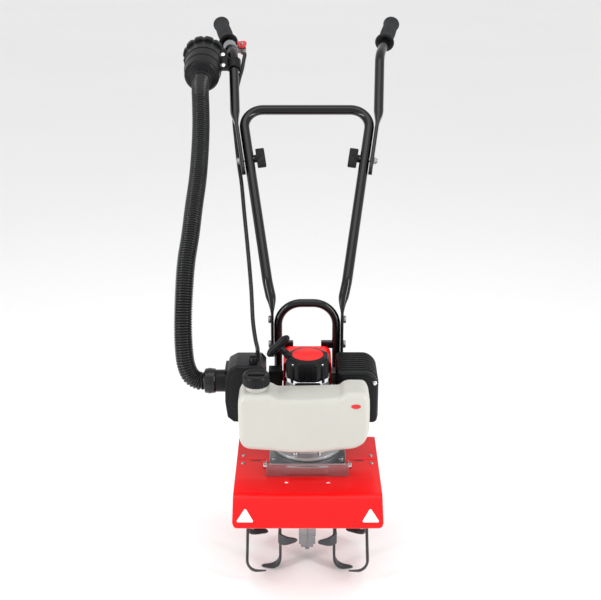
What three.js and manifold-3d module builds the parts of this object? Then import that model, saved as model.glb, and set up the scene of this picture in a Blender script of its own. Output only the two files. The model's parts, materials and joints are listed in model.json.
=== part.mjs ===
// Small petrol tiller: an upright two-stroke engine on a worm gearbox that turns four tines under a
// sheet fender, with a folding handle and a remote air filter on a hose. Millimetres, +Z up.
// +X is the operator's left, +Y points back to the operator, the crankshaft stands at X = Y = 0.
import * as THREE from "three";
import { mergeVertices } from "three/addons/utils/BufferGeometryUtils.js";
import Module from "manifold-3d";

const wasm = await Module();
wasm.setup();

// ---- driving dimensions ----
const GAP = 0.3; // left between pieces that touch
const LEFT = 1;
const RIGHT = -1;

// tines and their axle
const TINE_RADIUS = 102;
const TINE_THICK = 5;
const ARM_WIDTH = 24;
const BLADE_LENGTH = 34;
const BLADE_CLEARANCE = 3; // between an inner tine's blades and the gearbox case
const INNER_TINE_X = 52;
const OUTER_TINE_X = 114;
const AXLE_RADIUS = 10;
const HUB_RADIUS = 15;
const PIN_RADIUS = 3;

// worm drive
const WHEEL_TEETH = 30;
const WHEEL_PITCH_RADIUS = 24;
const WORM_PITCH_RADIUS = 8;
const WHEEL_WIDTH = 14;
const TOOTH_RISE = 1.0;
const TOOTH_FALL = 1.6;
const THREAD_RADIUS = 1.3;
const THREAD_TURNS = 4;
const SHAFT_RADIUS = 6;

// gearbox
const CASE_HALF_WIDTH = 16;
const CASE_WALL = 5;
const BEARING_WALL = 7;
const CASE_FOOT_HEIGHT = 16; // from the ground to the end cap's bolt head

// fender and mounting plate
const FENDER_WIDTH = 270;
const FENDER_TOP = 215;
const FENDER_SHEET = 2.5;
const FENDER_FRONT = -133;
const FENDER_REAR = 92;
const FENDER_SPLIT = -4;
const FENDER_LIP = 61;
const FENDER_LIP_ANGLE = 40;
const PLATE_TOP = 243;
const PLATE_SHEET = 4;
const PLATE_WIDTH = 142;
const PLATE_FRONT = -70;
const PLATE_REAR = 142;
const FLANGE_WIDTH = 152;

// engine stack, from the plate up
const CLUTCH_HOUSING_HEIGHT = 48;
const CLUTCH_FLANGE_RADIUS = 65;
const DRUM_RADIUS = 39;
const FAN_HOUSING_HEIGHT = 38.5;
const FAN_HOUSING_RADIUS = 56;
const FLYWHEEL_RADIUS = 45;
const RECOIL_HEIGHT = 48;
const RECOIL_WIDTH = 78;
const REEL_RADIUS = 29;

// crank, piston and cylinder
const STROKE = 34;
const BORE_RADIUS = 22;
const BARREL_RADIUS = BORE_RADIUS + 5;
const CRANKCASE_HEIGHT = 2 * BARREL_RADIUS; // the barrel is as high as the case it is bolted to
const ROD_LENGTH = 58;
const WEB_RADIUS = 23;
const WEB_THICK = 8;
const ROD_THICK = 16;
const CYLINDER_BACK = 104;
const FIN_SIZE = 76;
const SHROUD_WIDTH = 92;
const SHROUD_HEIGHT = 88;
const SHROUD_FRONT = 42;
const SHROUD_BACK = 113;

// muffler and air box
const MUFFLER_COVER_X = [56, 131];
const MUFFLER_COVER_Y = [-9, 95];
const MUFFLER_COVER_Z = [295, 398];
const AIR_BOX_X = [-150, -78];
const AIR_BOX_Y = [-10, 67];
const AIR_BOX_Z = [299, 409];
const NECK_RADIUS = 21;
const CUFF_RADIUS = 23.5;
const SHEET = 1.5;

// fuel tank
const TANK_X = [-123, 109];
const TANK_Y = [-135, -60];
const TANK_Z = [297, 401];
const TANK_WALL = 3;
const TANK_LOBE = 12;
const TANK_CORNERS = [24, 38]; // bottom corner radii, right and left
const CAP_RADIUS = 24;
const CAP_HEIGHT = 20;

// hoop behind the engine and the handle
const HOOP_RADIUS = 8;
const HOOP_HALF_WIDTH = 56.5;
const HOOP_Y = 125;
const HOOP_TOP = 486;
const HOOP_CORNER = 45;
const TUBE_RADIUS = 10;
const TONGUE_THICK = 6;
const LEG_LOW = [77, 146, 522];
const LEG_HIGH = [129, 375, 780];
const CROSSBAR = [400, 808];
const CROSSBAR_CORNER = 38;
const BOLT_ALONG_LEG = 270;
const BAR_TONGUE = [-32, 96];
const BAR_TONGUE_THICK = 8;
const BAR_BEND = [154, 488, 906];
const BAR_BEND_RADIUS = 60;
const GRIP_END = [190, 651, 953];
const GRIP_LENGTH = 106;
const GRIP_RADIUS = 15;

// remote air filter
const CANISTER_BASE = [-216, 412, 873];
const CANISTER_TILT = 17;
const CANISTER_LENGTH = 88;
const CANISTER_RADIUS = [36, 41];
const LID_RADIUS = 46;
const HOSE_RADIUS = 17.5;
const CONDUIT_RADIUS = 4.2;

// ---- shape tools ----
const V = (x, y, z) => new THREE.Vector3(x, y, z);
const X_AXIS = V(1, 0, 0);
const Y_AXIS = V(0, 1, 0);
const Z_AXIS = V(0, 0, 1);
const radians = THREE.MathUtils.degToRad;

// A closed three.js geometry as a solid whose faces point outwards.
function solid(geometry) {
  const bare = new THREE.BufferGeometry();
  bare.setAttribute("position", geometry.getAttribute("position"));
  bare.setIndex(geometry.index);
  const merged = mergeVertices(bare, 1e-3);
  const corners = [];
  const index = merged.index.array;
  for (let i = 0; i < index.length; i += 3) {
    const [a, b, c] = [index[i], index[i + 1], index[i + 2]];
    if (a !== b && b !== c && c !== a) corners.push(a, b, c);
  }
  const build = (list) =>
    new wasm.Manifold(
      new wasm.Mesh({
        numProp: 3,
        vertProperties: new Float32Array(merged.attributes.position.array),
        triVerts: new Uint32Array(list),
      }),
    );
  const made = build(corners);
  return made.volume() < 0 ? build(corners.reverse()) : made;
}

const join = (...solids) => solids.reduce((sum, next) => sum.add(next));
const cut = (from, ...tools) => tools.reduce((rest, tool) => rest.subtract(tool), from);

// A block between two limits on each axis.
function block([x0, x1], [y0, y1], [z0, z1]) {
  const box = new THREE.BoxGeometry(x1 - x0, y1 - y0, z1 - z0);
  return solid(box.translate((x0 + x1) / 2, (y0 + y1) / 2, (z0 + z1) / 2));
}

// A matrix that stands local +Y along a direction, with its origin at a point.
function standing(origin, direction) {
  const turn = new THREE.Quaternion().setFromUnitVectors(Y_AXIS, direction.clone().normalize());
  return new THREE.Matrix4().compose(origin, turn, V(1, 1, 1));
}

// A round rod from one point to another.
function rod(from, to, radius, sides = 20, endRadius = radius) {
  const along = to.clone().sub(from);
  const shape = new THREE.CylinderGeometry(endRadius, radius, along.length(), sides);
  shape.translate(0, along.length() / 2, 0);
  return solid(shape.applyMatrix4(standing(from, along)));
}

// A profile of [radius, height] points turned about a line through an origin.
function turned(profile, sides = 24, origin = V(0, 0, 0), direction = Z_AXIS) {
  const points = profile.map(([r, h]) => new THREE.Vector2(r, h));
  return solid(new THREE.LatheGeometry(points, sides).applyMatrix4(standing(origin, direction)));
}

// A closed ring profile: the last point repeats the first.
const ring = (profile, ...rest) => turned([...profile, profile[0]], ...rest);

// An outline, given as a Shape or as [u, v] points, extruded by a depth.
function prism(outline, depth, basis, options = {}) {
  const shape = Array.isArray(outline)
    ? new THREE.Shape(outline.map(([u, v]) => new THREE.Vector2(u, v)))
    : outline;
  const settings = { depth, bevelEnabled: false, curveSegments: 4, ...options };
  return solid(new THREE.ExtrudeGeometry(shape, settings).applyMatrix4(basis));
}

// Bases for prism: outlines in the YZ plane run along +X, in the XZ plane along -Y, in XY along +Z.
const alongX = (x) => new THREE.Matrix4().makeBasis(Y_AXIS, Z_AXIS, X_AXIS).setPosition(x, 0, 0);
const alongY = (y) =>
  new THREE.Matrix4().makeBasis(X_AXIS, Z_AXIS, V(0, -1, 0)).setPosition(0, y, 0);
const alongZ = (z) => new THREE.Matrix4().makeTranslation(0, 0, z);

// A rectangle between limits whose corners are rounded.
function roundedRectangle([u0, u1], [v0, v1], radius) {
  const shape = new THREE.Shape();
  shape.moveTo(u0 + radius, v0);
  shape.lineTo(u1 - radius, v0);
  shape.absarc(u1 - radius, v0 + radius, radius, -Math.PI / 2, 0);
  shape.lineTo(u1, v1 - radius);
  shape.absarc(u1 - radius, v1 - radius, radius, 0, Math.PI / 2);
  shape.lineTo(u0 + radius, v1);
  shape.absarc(u0 + radius, v1 - radius, radius, Math.PI / 2, Math.PI);
  shape.lineTo(u0, v0 + radius);
  shape.absarc(u0 + radius, v0 + radius, radius, Math.PI, 1.5 * Math.PI);
  return shape;
}

// A round bar along a curve.
function bar(curve, radius, steps, sides = 10) {
  const section = Array.from({ length: sides }, (_, i) => {
    const angle = (2 * Math.PI * i) / sides;
    return new THREE.Vector2(radius * Math.cos(angle), radius * Math.sin(angle));
  });
  const settings = { extrudePath: curve, steps, bevelEnabled: false };
  return solid(new THREE.ExtrudeGeometry(new THREE.Shape(section), settings));
}

const curveThrough = (points) => new THREE.CatmullRomCurve3(points, false, "centripetal");

// Points round the corner from one straight to the next, so that a curve through them is an arc.
function corner(before, at, after, radius, count = 5) {
  const inward = before.clone().sub(at).normalize();
  const outward = after.clone().sub(at).normalize();
  const half = inward.angleTo(outward) / 2;
  const reach = radius / Math.tan(half);
  const centre = inward.clone().add(outward).normalize().multiplyScalar(radius / Math.sin(half)).add(at);
  const start = inward.clone().multiplyScalar(reach).add(at).sub(centre);
  const end = outward.clone().multiplyScalar(reach).add(at).sub(centre);
  const sweep = start.angleTo(end);
  return Array.from({ length: count }, (_, i) => {
    const t = i / (count - 1);
    const a = start.clone().multiplyScalar(Math.sin((1 - t) * sweep) / Math.sin(sweep));
    const b = end.clone().multiplyScalar(Math.sin(t * sweep) / Math.sin(sweep));
    return a.add(b).add(centre);
  });
}

// ---- materials ----
const paint = (color, roughness = 0.45, metalness = 0) =>
  new THREE.MeshStandardMaterial({ color, roughness, metalness });
const RED_PAINT = () => paint(0xd81a1c, 0.35);
const BLACK_PAINT = () => paint(0x101114, 0.2);
const BLACK_PLASTIC = () => paint(0x1b1c1e, 0.5);
const GREY_PAINT = () => paint(0x3c4044, 0.5, 0.3);
const TANK_PLASTIC = () => paint(0xe4e2da, 0.35);
const GRIP_RUBBER = () => paint(0x3a3d40, 0.85);
const CAST = () => paint(0xa7a9ab, 0.45, 0.9);
const STEEL = () => paint(0xb9bcc0, 0.3, 1);
const HOSE_RUBBER = () => paint(0x232426, 0.6);
const PAPER = () => paint(0xd9c48a, 0.9);

const part = new THREE.Group();

function add(name, shape, material) {
  const { numProp, vertProperties, triVerts } = shape.getMesh();
  const positions = new Float32Array((vertProperties.length / numProp) * 3);
  for (let i = 0; i < positions.length / 3; i++)
    positions.set(vertProperties.subarray(i * numProp, i * numProp + 3), i * 3);
  const geometry = new THREE.BufferGeometry();
  geometry.setAttribute("position", new THREE.BufferAttribute(positions, 3));
  geometry.setIndex(new THREE.BufferAttribute(new Uint32Array(triVerts), 1));
  geometry.computeVertexNormals();
  const mesh = new THREE.Mesh(geometry, material);
  mesh.name = name;
  part.add(mesh);
  return mesh;
}

const sideName = (base, side) => base + (side === LEFT ? "_left" : "_right");

// ---- places worked out from the dimensions ----
const AXLE_Y = -(WHEEL_PITCH_RADIUS + WORM_PITCH_RADIUS);
const AXLE_Z = TINE_RADIUS;
const AXLE_HALF = OUTER_TINE_X + 8;
const axlePoint = (x) => V(x, AXLE_Y, AXLE_Z);
const PLATE_BOTTOM = PLATE_TOP - PLATE_SHEET;
const CLUTCH_BASE = PLATE_TOP + GAP;
const CLUTCH_TOP = CLUTCH_BASE + CLUTCH_HOUSING_HEIGHT;
const FAN_BASE = CLUTCH_TOP + GAP;
const FAN_TOP = FAN_BASE + FAN_HOUSING_HEIGHT;
const CASE_BASE = FAN_TOP + GAP;
const CASE_TOP = CASE_BASE + CRANKCASE_HEIGHT;
const CRANK_Z = (CASE_BASE + CASE_TOP) / 2;
const RECOIL_BASE = CASE_TOP + GAP;
const RECOIL_TOP = RECOIL_BASE + RECOIL_HEIGHT;
const axis = (z) => V(0, 0, z);

// ---- gearbox ----
const BEARING_RADIUS = CASE_HALF_WIDTH - 3;
const AXLE_BEARING_RADIUS = AXLE_RADIUS + 5.5;
const WHEEL_CHAMBER = WHEEL_PITCH_RADIUS + TOOTH_RISE + 3;
const CAP_TOP = CASE_FOOT_HEIGHT + 20;
const LOWER_BEARING = CAP_TOP + 10;
const WORM_HALF = 17;
const UPPER_BEARING = AXLE_Z + WORM_HALF + 22;
const CASE_TOP_FLANGE = 8;

function gearboxCase(side) {
  const [x0, x1] = side === LEFT ? [GAP / 2, CASE_HALF_WIDTH] : [-CASE_HALF_WIDTH, -GAP / 2];
  const wide = [x0, x1];
  const flange = side === LEFT ? [GAP / 2, 34] : [-34, -GAP / 2];
  const outer = join(
    block(wide, [-18, 18], [CAP_TOP + GAP, PLATE_BOTTOM - GAP]),
    rod(axlePoint(x0), axlePoint(x1), WHEEL_CHAMBER + CASE_WALL, 24),
    block(flange, [-34, 34], [PLATE_BOTTOM - GAP - CASE_TOP_FLANGE, PLATE_BOTTOM - GAP]),
  );
  const chamberEnd = side * (WHEEL_WIDTH / 2 + 1.5);
  const outside = side * (CASE_HALF_WIDTH + 1);
  return cut(
    outer,
    rod(axlePoint(-side), axlePoint(chamberEnd), WHEEL_CHAMBER, 24),
    rod(axlePoint(0), axlePoint(outside), AXLE_BEARING_RADIUS + GAP / 2, 20),
    rod(axis(CAP_TOP), axis(PLATE_TOP), BEARING_RADIUS + GAP / 2, 20),
  );
}
for (const side of [LEFT, RIGHT]) add(sideName("gearbox_case", side), gearboxCase(side), CAST());

const capFlange = block([-12, 12], [-14, 14], [CAP_TOP - 9, CAP_TOP]);
const capBolt = rod(axis(CASE_FOOT_HEIGHT), axis(CAP_TOP - 9), 5, 6);
const capSpigot = rod(axis(CAP_TOP - 1), axis(CAP_TOP + 5), BEARING_RADIUS - GAP, 20);
add("gearbox_end_cap", join(capFlange, capBolt, capSpigot), CAST());

function shaftBearing(z) {
  const [inner, outer] = [SHAFT_RADIUS + 0.25, BEARING_RADIUS - 0.1];
  return ring([[inner, z], [outer, z], [outer, z + 9], [inner, z + 9]], 20);
}
add("worm_lower_bearing", shaftBearing(LOWER_BEARING), STEEL());
add("worm_upper_bearing", shaftBearing(UPPER_BEARING), STEEL());

// The worm: a round thread wound on a core, right-handed, centred beside the wheel.
const LEAD = (2 * Math.PI * WHEEL_PITCH_RADIUS) / WHEEL_TEETH;
const wormStart = -Math.PI / 2 - Math.PI * THREAD_TURNS;
class WormThread extends THREE.Curve {
  getPoint(t, target = new THREE.Vector3()) {
    const angle = wormStart + 2 * Math.PI * THREAD_TURNS * t;
    const rise = (LEAD * (angle + Math.PI / 2)) / (2 * Math.PI);
    const reach = WORM_PITCH_RADIUS;
    return target.set(reach * Math.cos(angle), reach * Math.sin(angle), AXLE_Z + rise);
  }
}
const DRUM_FLOOR = CLUTCH_BASE + 12;
const wormShaft = join(
  rod(axis(CAP_TOP + 6), axis(DRUM_FLOOR + 5), SHAFT_RADIUS, 16),
  rod(axis(AXLE_Z - WORM_HALF), axis(AXLE_Z + WORM_HALF), WORM_PITCH_RADIUS - 1.3, 24),
  bar(new WormThread(), THREAD_RADIUS, 10 * THREAD_TURNS, 5),
);
add("worm_shaft", wormShaft, STEEL());

function toothedWheel() {
  const outline = [];
  const pitch = (2 * Math.PI) / WHEEL_TEETH;
  const tip = WHEEL_PITCH_RADIUS + TOOTH_RISE;
  const root = WHEEL_PITCH_RADIUS - TOOTH_FALL;
  for (let i = 0; i < WHEEL_TEETH; i++) {
    const middle = (i + 0.5) * pitch;
    for (const [radius, half] of [[root, -1.1], [tip, -0.45], [tip, 0.45], [root, 1.1]]) {
      const angle = middle + half / WHEEL_PITCH_RADIUS;
      outline.push([AXLE_Y + radius * Math.cos(angle), AXLE_Z + radius * Math.sin(angle)]);
    }
  }
  const wheel = prism(outline, WHEEL_WIDTH, alongX(-WHEEL_WIDTH / 2));
  return cut(wheel, rod(axlePoint(-20), axlePoint(20), AXLE_RADIUS + GAP, 16));
}
add("worm_wheel", toothedWheel(), paint(0xb08d4a, 0.35, 1));

// ---- axle, bearings and tines ----
const pinHole = (x, radius) =>
  rod(V(x, AXLE_Y, AXLE_Z - HUB_RADIUS - 12), V(x, AXLE_Y, AXLE_Z + HUB_RADIUS + 12), radius, 12);
const PIN_X = OUTER_TINE_X - 9;
let axle = rod(axlePoint(-AXLE_HALF), axlePoint(AXLE_HALF), AXLE_RADIUS, 16);
for (const side of [LEFT, RIGHT]) axle = cut(axle, pinHole(side * PIN_X, PIN_RADIUS + GAP));
add("tine_axle", axle, STEEL());

for (const side of [LEFT, RIGHT]) {
  const [inner, outer] = [AXLE_RADIUS + 0.25, AXLE_BEARING_RADIUS - 0.1];
  const seat = axlePoint(side * (CASE_HALF_WIDTH - BEARING_WALL + 0.5));
  const shape = ring([[inner, 0], [outer, 0], [outer, 6.5], [inner, 6.5]], 28, seat, V(side, 0, 0));
  add(sideName("axle_bearing", side), shape, STEEL());
}

// Blades reach this far along the axle from the middle of their tine's sheet. Those of the inner
// tines that bend towards the gearbox stop at their clearance from its case.
const OPEN_REACH = TINE_THICK / 2 + BLADE_LENGTH;
const CASE_REACH = INNER_TINE_X - CASE_HALF_WIDTH - BLADE_CLEARANCE;

// One star of four arms. Each arm ends in a blade bent along the axle, towards bend(i) = +1 or -1.
function tine(x, hub, firstAngle, bend, inwardReach = OPEN_REACH) {
  let star = rod(axlePoint(hub[0]), axlePoint(hub[1]), HUB_RADIUS, 16);
  const half = TINE_THICK / 2;
  for (let i = 0; i < 4; i++) {
    const way = bend(i);
    const tip = TINE_RADIUS - 1.5;
    const arm = prism(
      [
        [HUB_RADIUS - 5, -ARM_WIDTH / 2],
        [TINE_RADIUS * 0.62, -ARM_WIDTH / 2],
        [tip - TINE_THICK, -ARM_WIDTH / 2 - 7],
        [tip, -ARM_WIDTH / 2 - 5],
        [tip, ARM_WIDTH / 2 - 10],
        [HUB_RADIUS - 5, ARM_WIDTH / 2],
      ],
      TINE_THICK,
      alongX(-half),
    );
    const reach = [half - 1, way * x < 0 ? inwardReach : OPEN_REACH];
    const span = way > 0 ? reach : [-reach[1], -reach[0]];
    const foot = [-ARM_WIDTH / 2 - 5, ARM_WIDTH / 2 - 10];
    const blade = prism(
      [
        [span[0], foot[0]],
        [span[1], way > 0 ? foot[0] - 6 : foot[0]],
        [span[1], way > 0 ? foot[0] + 12 : foot[1]],
        [span[0], foot[1]],
      ],
      TINE_THICK,
      new THREE.Matrix4().makeBasis(X_AXIS, V(0, 0, 1), V(0, -1, 0)).setPosition(0, tip, 0),
    );
    const angle = radians(firstAngle + 90 * i);
    const place = new THREE.Matrix4()
      .makeTranslation(x, AXLE_Y, AXLE_Z)
      .multiply(new THREE.Matrix4().makeRotationX(angle));
    star = join(star, join(arm, blade).transform(place.toArray()));
  }
  return star;
}
const HUB_SPLIT = INNER_TINE_X + 12;
for (const side of [LEFT, RIGHT]) {
  const bore = rod(axlePoint(side * 10), axlePoint(side * (AXLE_HALF + 5)), AXLE_RADIUS + GAP, 16);
  const innerHub = [side * (CASE_HALF_WIDTH + 4), side * HUB_SPLIT].sort((a, b) => a - b);
  const outerHub = [side * (HUB_SPLIT + GAP), side * (AXLE_HALF - 4)].sort((a, b) => a - b);
  const bothWays = (i) => (i % 2 ? -side : side);
  const inner = tine(side * INNER_TINE_X, innerHub, -93, bothWays, CASE_REACH);
  const outer = tine(side * OUTER_TINE_X, outerHub, -130, () => -side);
  add(sideName("tine_inner", side), cut(inner, bore), GREY_PAINT());
  const drilled = cut(outer, bore, pinHole(side * PIN_X, PIN_RADIUS + GAP));
  add(sideName("tine_outer", side), drilled, GREY_PAINT());
  const stem = V(side * PIN_X, AXLE_Y, AXLE_Z - HUB_RADIUS - 7);
  const top = V(side * PIN_X, AXLE_Y, AXLE_Z + HUB_RADIUS + 1);
  const head = top.clone().add(V(0, 0, 4));
  add(sideName("tine_pin", side), join(rod(stem, top, PIN_RADIUS, 12), rod(top, head, 5.5, 12)), STEEL());
}

// ---- fender and mounting plate ----
const FENDER_X = [-FENDER_WIDTH / 2, FENDER_WIDTH / 2];
const FENDER_Z = [FENDER_TOP - FENDER_SHEET, FENDER_TOP];
const COLUMN_CLEAR = 20;

// One half of the fender: a flat sheet and a lip that slopes down from its outer edge.
function fenderHalf(way, from, to) {
  const flat = block(FENDER_X, way < 0 ? [to, from] : [from, to], FENDER_Z);
  const lip = roundedRectangle(FENDER_X, [-24, FENDER_LIP], 22);
  const slope = radians(FENDER_LIP_ANGLE);
  const down = V(0, way * Math.cos(slope), -Math.sin(slope));
  const normal = V(0, way * Math.sin(slope), Math.cos(slope));
  const across = down.clone().cross(normal);
  const turn = new THREE.Matrix4().makeBasis(across, down, normal);
  const seat = turn.setPosition(normal.clone().multiplyScalar(-FENDER_SHEET).add(V(0, to, FENDER_TOP)));
  const above = block([-200, 200], [to - 60, to + 60], [FENDER_TOP, 400]);
  const half = cut(prism(lip, FENDER_SHEET, seat), above);
  const lipSpan = way < 0 ? [to - 90, to + 1] : [to - 1, to + 90];
  const lipOnly = half.intersect(block([-200, 200], lipSpan, [0, 400]));
  return cut(
    join(flat, lipOnly),
    block([-COLUMN_CLEAR, COLUMN_CLEAR], [-COLUMN_CLEAR, COLUMN_CLEAR], [150, 300]),
  );
}
add("fender_front", fenderHalf(-1, FENDER_SPLIT - GAP / 2, FENDER_FRONT), RED_PAINT());
add("fender_rear", fenderHalf(1, FENDER_SPLIT + GAP / 2, FENDER_REAR), RED_PAINT());

const PLATE_X = [-PLATE_WIDTH / 2, PLATE_WIDTH / 2];
const FLANGE_X = [-FLANGE_WIDTH / 2, FLANGE_WIDTH / 2];
const FLANGE_Z = [FENDER_TOP + GAP, PLATE_TOP];
const plate = cut(
  join(
    block(PLATE_X, [PLATE_FRONT, PLATE_REAR], [PLATE_BOTTOM, PLATE_TOP]),
    block(FLANGE_X, [PLATE_FRONT, PLATE_FRONT + 3], FLANGE_Z),
    block(FLANGE_X, [FENDER_REAR - 6, FENDER_REAR - 3], FLANGE_Z),
  ),
  rod(axis(PLATE_BOTTOM - 1), axis(PLATE_TOP + 1), BEARING_RADIUS + 3, 20),
);
add("mount_plate", plate, GREY_PAINT());

// ---- clutch ----
const clutchBell = [
  [BEARING_RADIUS + 3, CLUTCH_BASE],
  [CLUTCH_FLANGE_RADIUS, CLUTCH_BASE],
  [CLUTCH_FLANGE_RADIUS, CLUTCH_BASE + 8],
  [CLUTCH_FLANGE_RADIUS - 9, CLUTCH_BASE + 14],
  [DRUM_RADIUS + 9, CLUTCH_TOP - 8],
  [DRUM_RADIUS + 9, CLUTCH_TOP],
  [DRUM_RADIUS + 5, CLUTCH_TOP],
  [DRUM_RADIUS + 5, CLUTCH_BASE + 6],
  [BEARING_RADIUS + 3, CLUTCH_BASE + 6],
];
add("clutch_housing", ring(clutchBell, 24), CAST());

const DRUM_TOP = DRUM_FLOOR + 26;
const drum = [
  [SHAFT_RADIUS + 0.25, DRUM_FLOOR],
  [DRUM_RADIUS, DRUM_FLOOR],
  [DRUM_RADIUS, DRUM_TOP],
  [DRUM_RADIUS - 2.5, DRUM_TOP],
  [DRUM_RADIUS - 2.5, DRUM_FLOOR + 3],
  [SHAFT_RADIUS + 0.25, DRUM_FLOOR + 3],
];
add("clutch_drum", ring(drum, 24), STEEL());

// The clutch's hub and its two shoes, cut apart by slots that stop at the hub.
const SHOE_BASE = DRUM_FLOOR + 7;
const shoes = rod(axis(SHOE_BASE), axis(SHOE_BASE + 16), DRUM_RADIUS - 4, 20);
const slot = (turn) =>
  block([15, DRUM_RADIUS], [-3, 3], [SHOE_BASE - 1, SHOE_BASE + 17]).rotate([0, 0, turn]);
const hubBore = rod(axis(SHOE_BASE - 1), axis(SHOE_BASE + 17), SHAFT_RADIUS + 0.25, 16);
add("clutch_hub", cut(shoes, slot(0), slot(180), hubBore), STEEL());

// ---- fan and flywheel ----
const fanShell = [
  [DRUM_RADIUS + 5, FAN_BASE],
  [FAN_HOUSING_RADIUS, FAN_BASE],
  [FAN_HOUSING_RADIUS, FAN_TOP],
  [20, FAN_TOP],
  [20, FAN_TOP - 4],
  [FAN_HOUSING_RADIUS - 4, FAN_TOP - 4],
  [FAN_HOUSING_RADIUS - 4, FAN_BASE + 4],
  [DRUM_RADIUS + 5, FAN_BASE + 4],
];
const fanOutlet = block([-60, 60], [SHROUD_FRONT - 0.5, 80], [FAN_BASE + 6, FAN_TOP + 1]);
add("fan_housing", cut(ring(fanShell, 24), fanOutlet), CAST());

const WHEEL_BASE = FAN_BASE + 8;
let flywheel = join(
  rod(axis(WHEEL_BASE), axis(WHEEL_BASE + 5), FLYWHEEL_RADIUS, 28),
  rod(axis(WHEEL_BASE), axis(WHEEL_BASE + 22), 14, 24),
);
for (let i = 0; i < 10; i++) {
  const fin = block([13, FLYWHEEL_RADIUS - 2], [-1.2, 1.2], [WHEEL_BASE + 4, WHEEL_BASE + 20]);
  flywheel = join(flywheel, fin.rotate([0, 0, 36 * i]));
}
const flywheelBore = rod(axis(WHEEL_BASE - 1), axis(WHEEL_BASE + 23), SHAFT_RADIUS + 0.25, 16);
add("flywheel", cut(flywheel, flywheelBore), CAST());
const coil = block([-18, 18], [FLYWHEEL_RADIUS + 2.5, FLYWHEEL_RADIUS + 16], [FAN_BASE + 9, FAN_BASE + 27]);
add("ignition_coil", coil, BLACK_PLASTIC());

// ---- crankcase, crank, rod and piston ----
const CRANK_THROW = STROKE / 2;
const WEB_INNER = ROD_THICK / 2 + 1;
const WEB_OUTER = WEB_INNER + WEB_THICK;
const CASE_BACK = 36;
const caseOuter = join(
  rod(axis(CASE_BASE), axis(CASE_TOP), 40, 24),
  block([-32, 32], [0, CASE_BACK], [CASE_BASE, CASE_TOP]),
);
const crankcase = cut(
  caseOuter,
  rod(axis(CRANK_Z - WEB_OUTER - 2), axis(CRANK_Z + WEB_OUTER + 2), WEB_RADIUS + 3, 24),
  rod(axis(CASE_BASE - 1), axis(CASE_TOP + 1), SHAFT_RADIUS + 0.5, 16),
  rod(V(0, 0, CRANK_Z), V(0, CASE_BACK + 1, CRANK_Z), BORE_RADIUS + 1, 20),
  block([-50, 50], [CASE_BACK, 50], [CASE_BASE - 1, CASE_TOP + 1]),
);
add("crankcase", crankcase, CAST());

const upperShaft = rod(axis(CRANK_Z + WEB_INNER), axis(RECOIL_BASE + 7), SHAFT_RADIUS, 16);
const upperWeb = rod(axis(CRANK_Z + WEB_INNER), axis(CRANK_Z + WEB_OUTER), WEB_RADIUS, 24);
add("crank_half_upper", join(upperShaft, upperWeb), STEEL());
const lowerShaft = rod(axis(SHOE_BASE - 2 + GAP), axis(CRANK_Z - WEB_INNER), SHAFT_RADIUS, 16);
const lowerWeb = rod(axis(CRANK_Z - WEB_OUTER), axis(CRANK_Z - WEB_INNER), WEB_RADIUS, 24);
add("crank_half_lower", join(lowerShaft, lowerWeb), STEEL());

// The rod carries the crank pin, which stops short of both webs.
const PISTON_PIN_Y = CRANK_THROW + ROD_LENGTH;
const upright = (y, radius, half) => rod(V(0, y, CRANK_Z - half), V(0, y, CRANK_Z + half), radius, 14);
const connectingRod = join(
  upright(CRANK_THROW, 5, WEB_INNER - GAP),
  upright(CRANK_THROW, 9, ROD_THICK / 2 - 2),
  block([-3.5, 3.5], [CRANK_THROW + 5, PISTON_PIN_Y - 4], [CRANK_Z - 4.5, CRANK_Z + 4.5]),
  upright(PISTON_PIN_Y, 7, ROD_THICK / 2 - 3),
  upright(PISTON_PIN_Y, 4, BORE_RADIUS - 4),
);
add("connecting_rod", connectingRod, STEEL());
const PISTON_CROWN = PISTON_PIN_Y + 14;
const alongStroke = (y0, y1, radius, sides = 24) =>
  rod(V(0, y0, CRANK_Z), V(0, y1, CRANK_Z), radius, sides);
const piston = cut(
  alongStroke(PISTON_PIN_Y - 15, PISTON_CROWN, BORE_RADIUS - GAP),
  alongStroke(PISTON_PIN_Y - 16, PISTON_CROWN - 4, BORE_RADIUS - 3),
  upright(PISTON_PIN_Y, 4 + GAP, BORE_RADIUS + 2),
);
add("piston", piston, CAST());

const HEAD_INSIDE = PISTON_CROWN + 2;
let cylinder = join(
  block([-30, 30], [CASE_BACK + GAP, CASE_BACK + 6], [CRANK_Z - 26, CRANK_Z + 26]),
  alongStroke(CASE_BACK + GAP, CYLINDER_BACK, BARREL_RADIUS),
);
const finSpan = [-FIN_SIZE / 2, FIN_SIZE / 2];
const finZ = [CRANK_Z - FIN_SIZE / 2, CRANK_Z + FIN_SIZE / 2];
const FIN_THICK = 2.5;
for (let y = CASE_BACK + 14; y < CYLINDER_BACK - 2; y += 9) {
  const outline = roundedRectangle(finSpan, finZ, 10);
  cylinder = join(cylinder, prism(outline, FIN_THICK, alongY(y + FIN_THICK), { curveSegments: 2 }));
}
const bore = alongStroke(CASE_BACK, HEAD_INSIDE, BORE_RADIUS + 0.15);
const plugHole = alongStroke(HEAD_INSIDE - 1, CYLINDER_BACK + 1, 7, 20);
add("cylinder", cut(cylinder, bore, plugHole), CAST());

const plug = join(
  alongStroke(HEAD_INSIDE + 1, CYLINDER_BACK + 1, 6.5, 20),
  alongStroke(CYLINDER_BACK + GAP, CYLINDER_BACK + 7, 9, 6),
  alongStroke(CYLINDER_BACK + 6, CYLINDER_BACK + 26, 8, 16),
);
add("spark_plug", plug, BLACK_PLASTIC());

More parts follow.
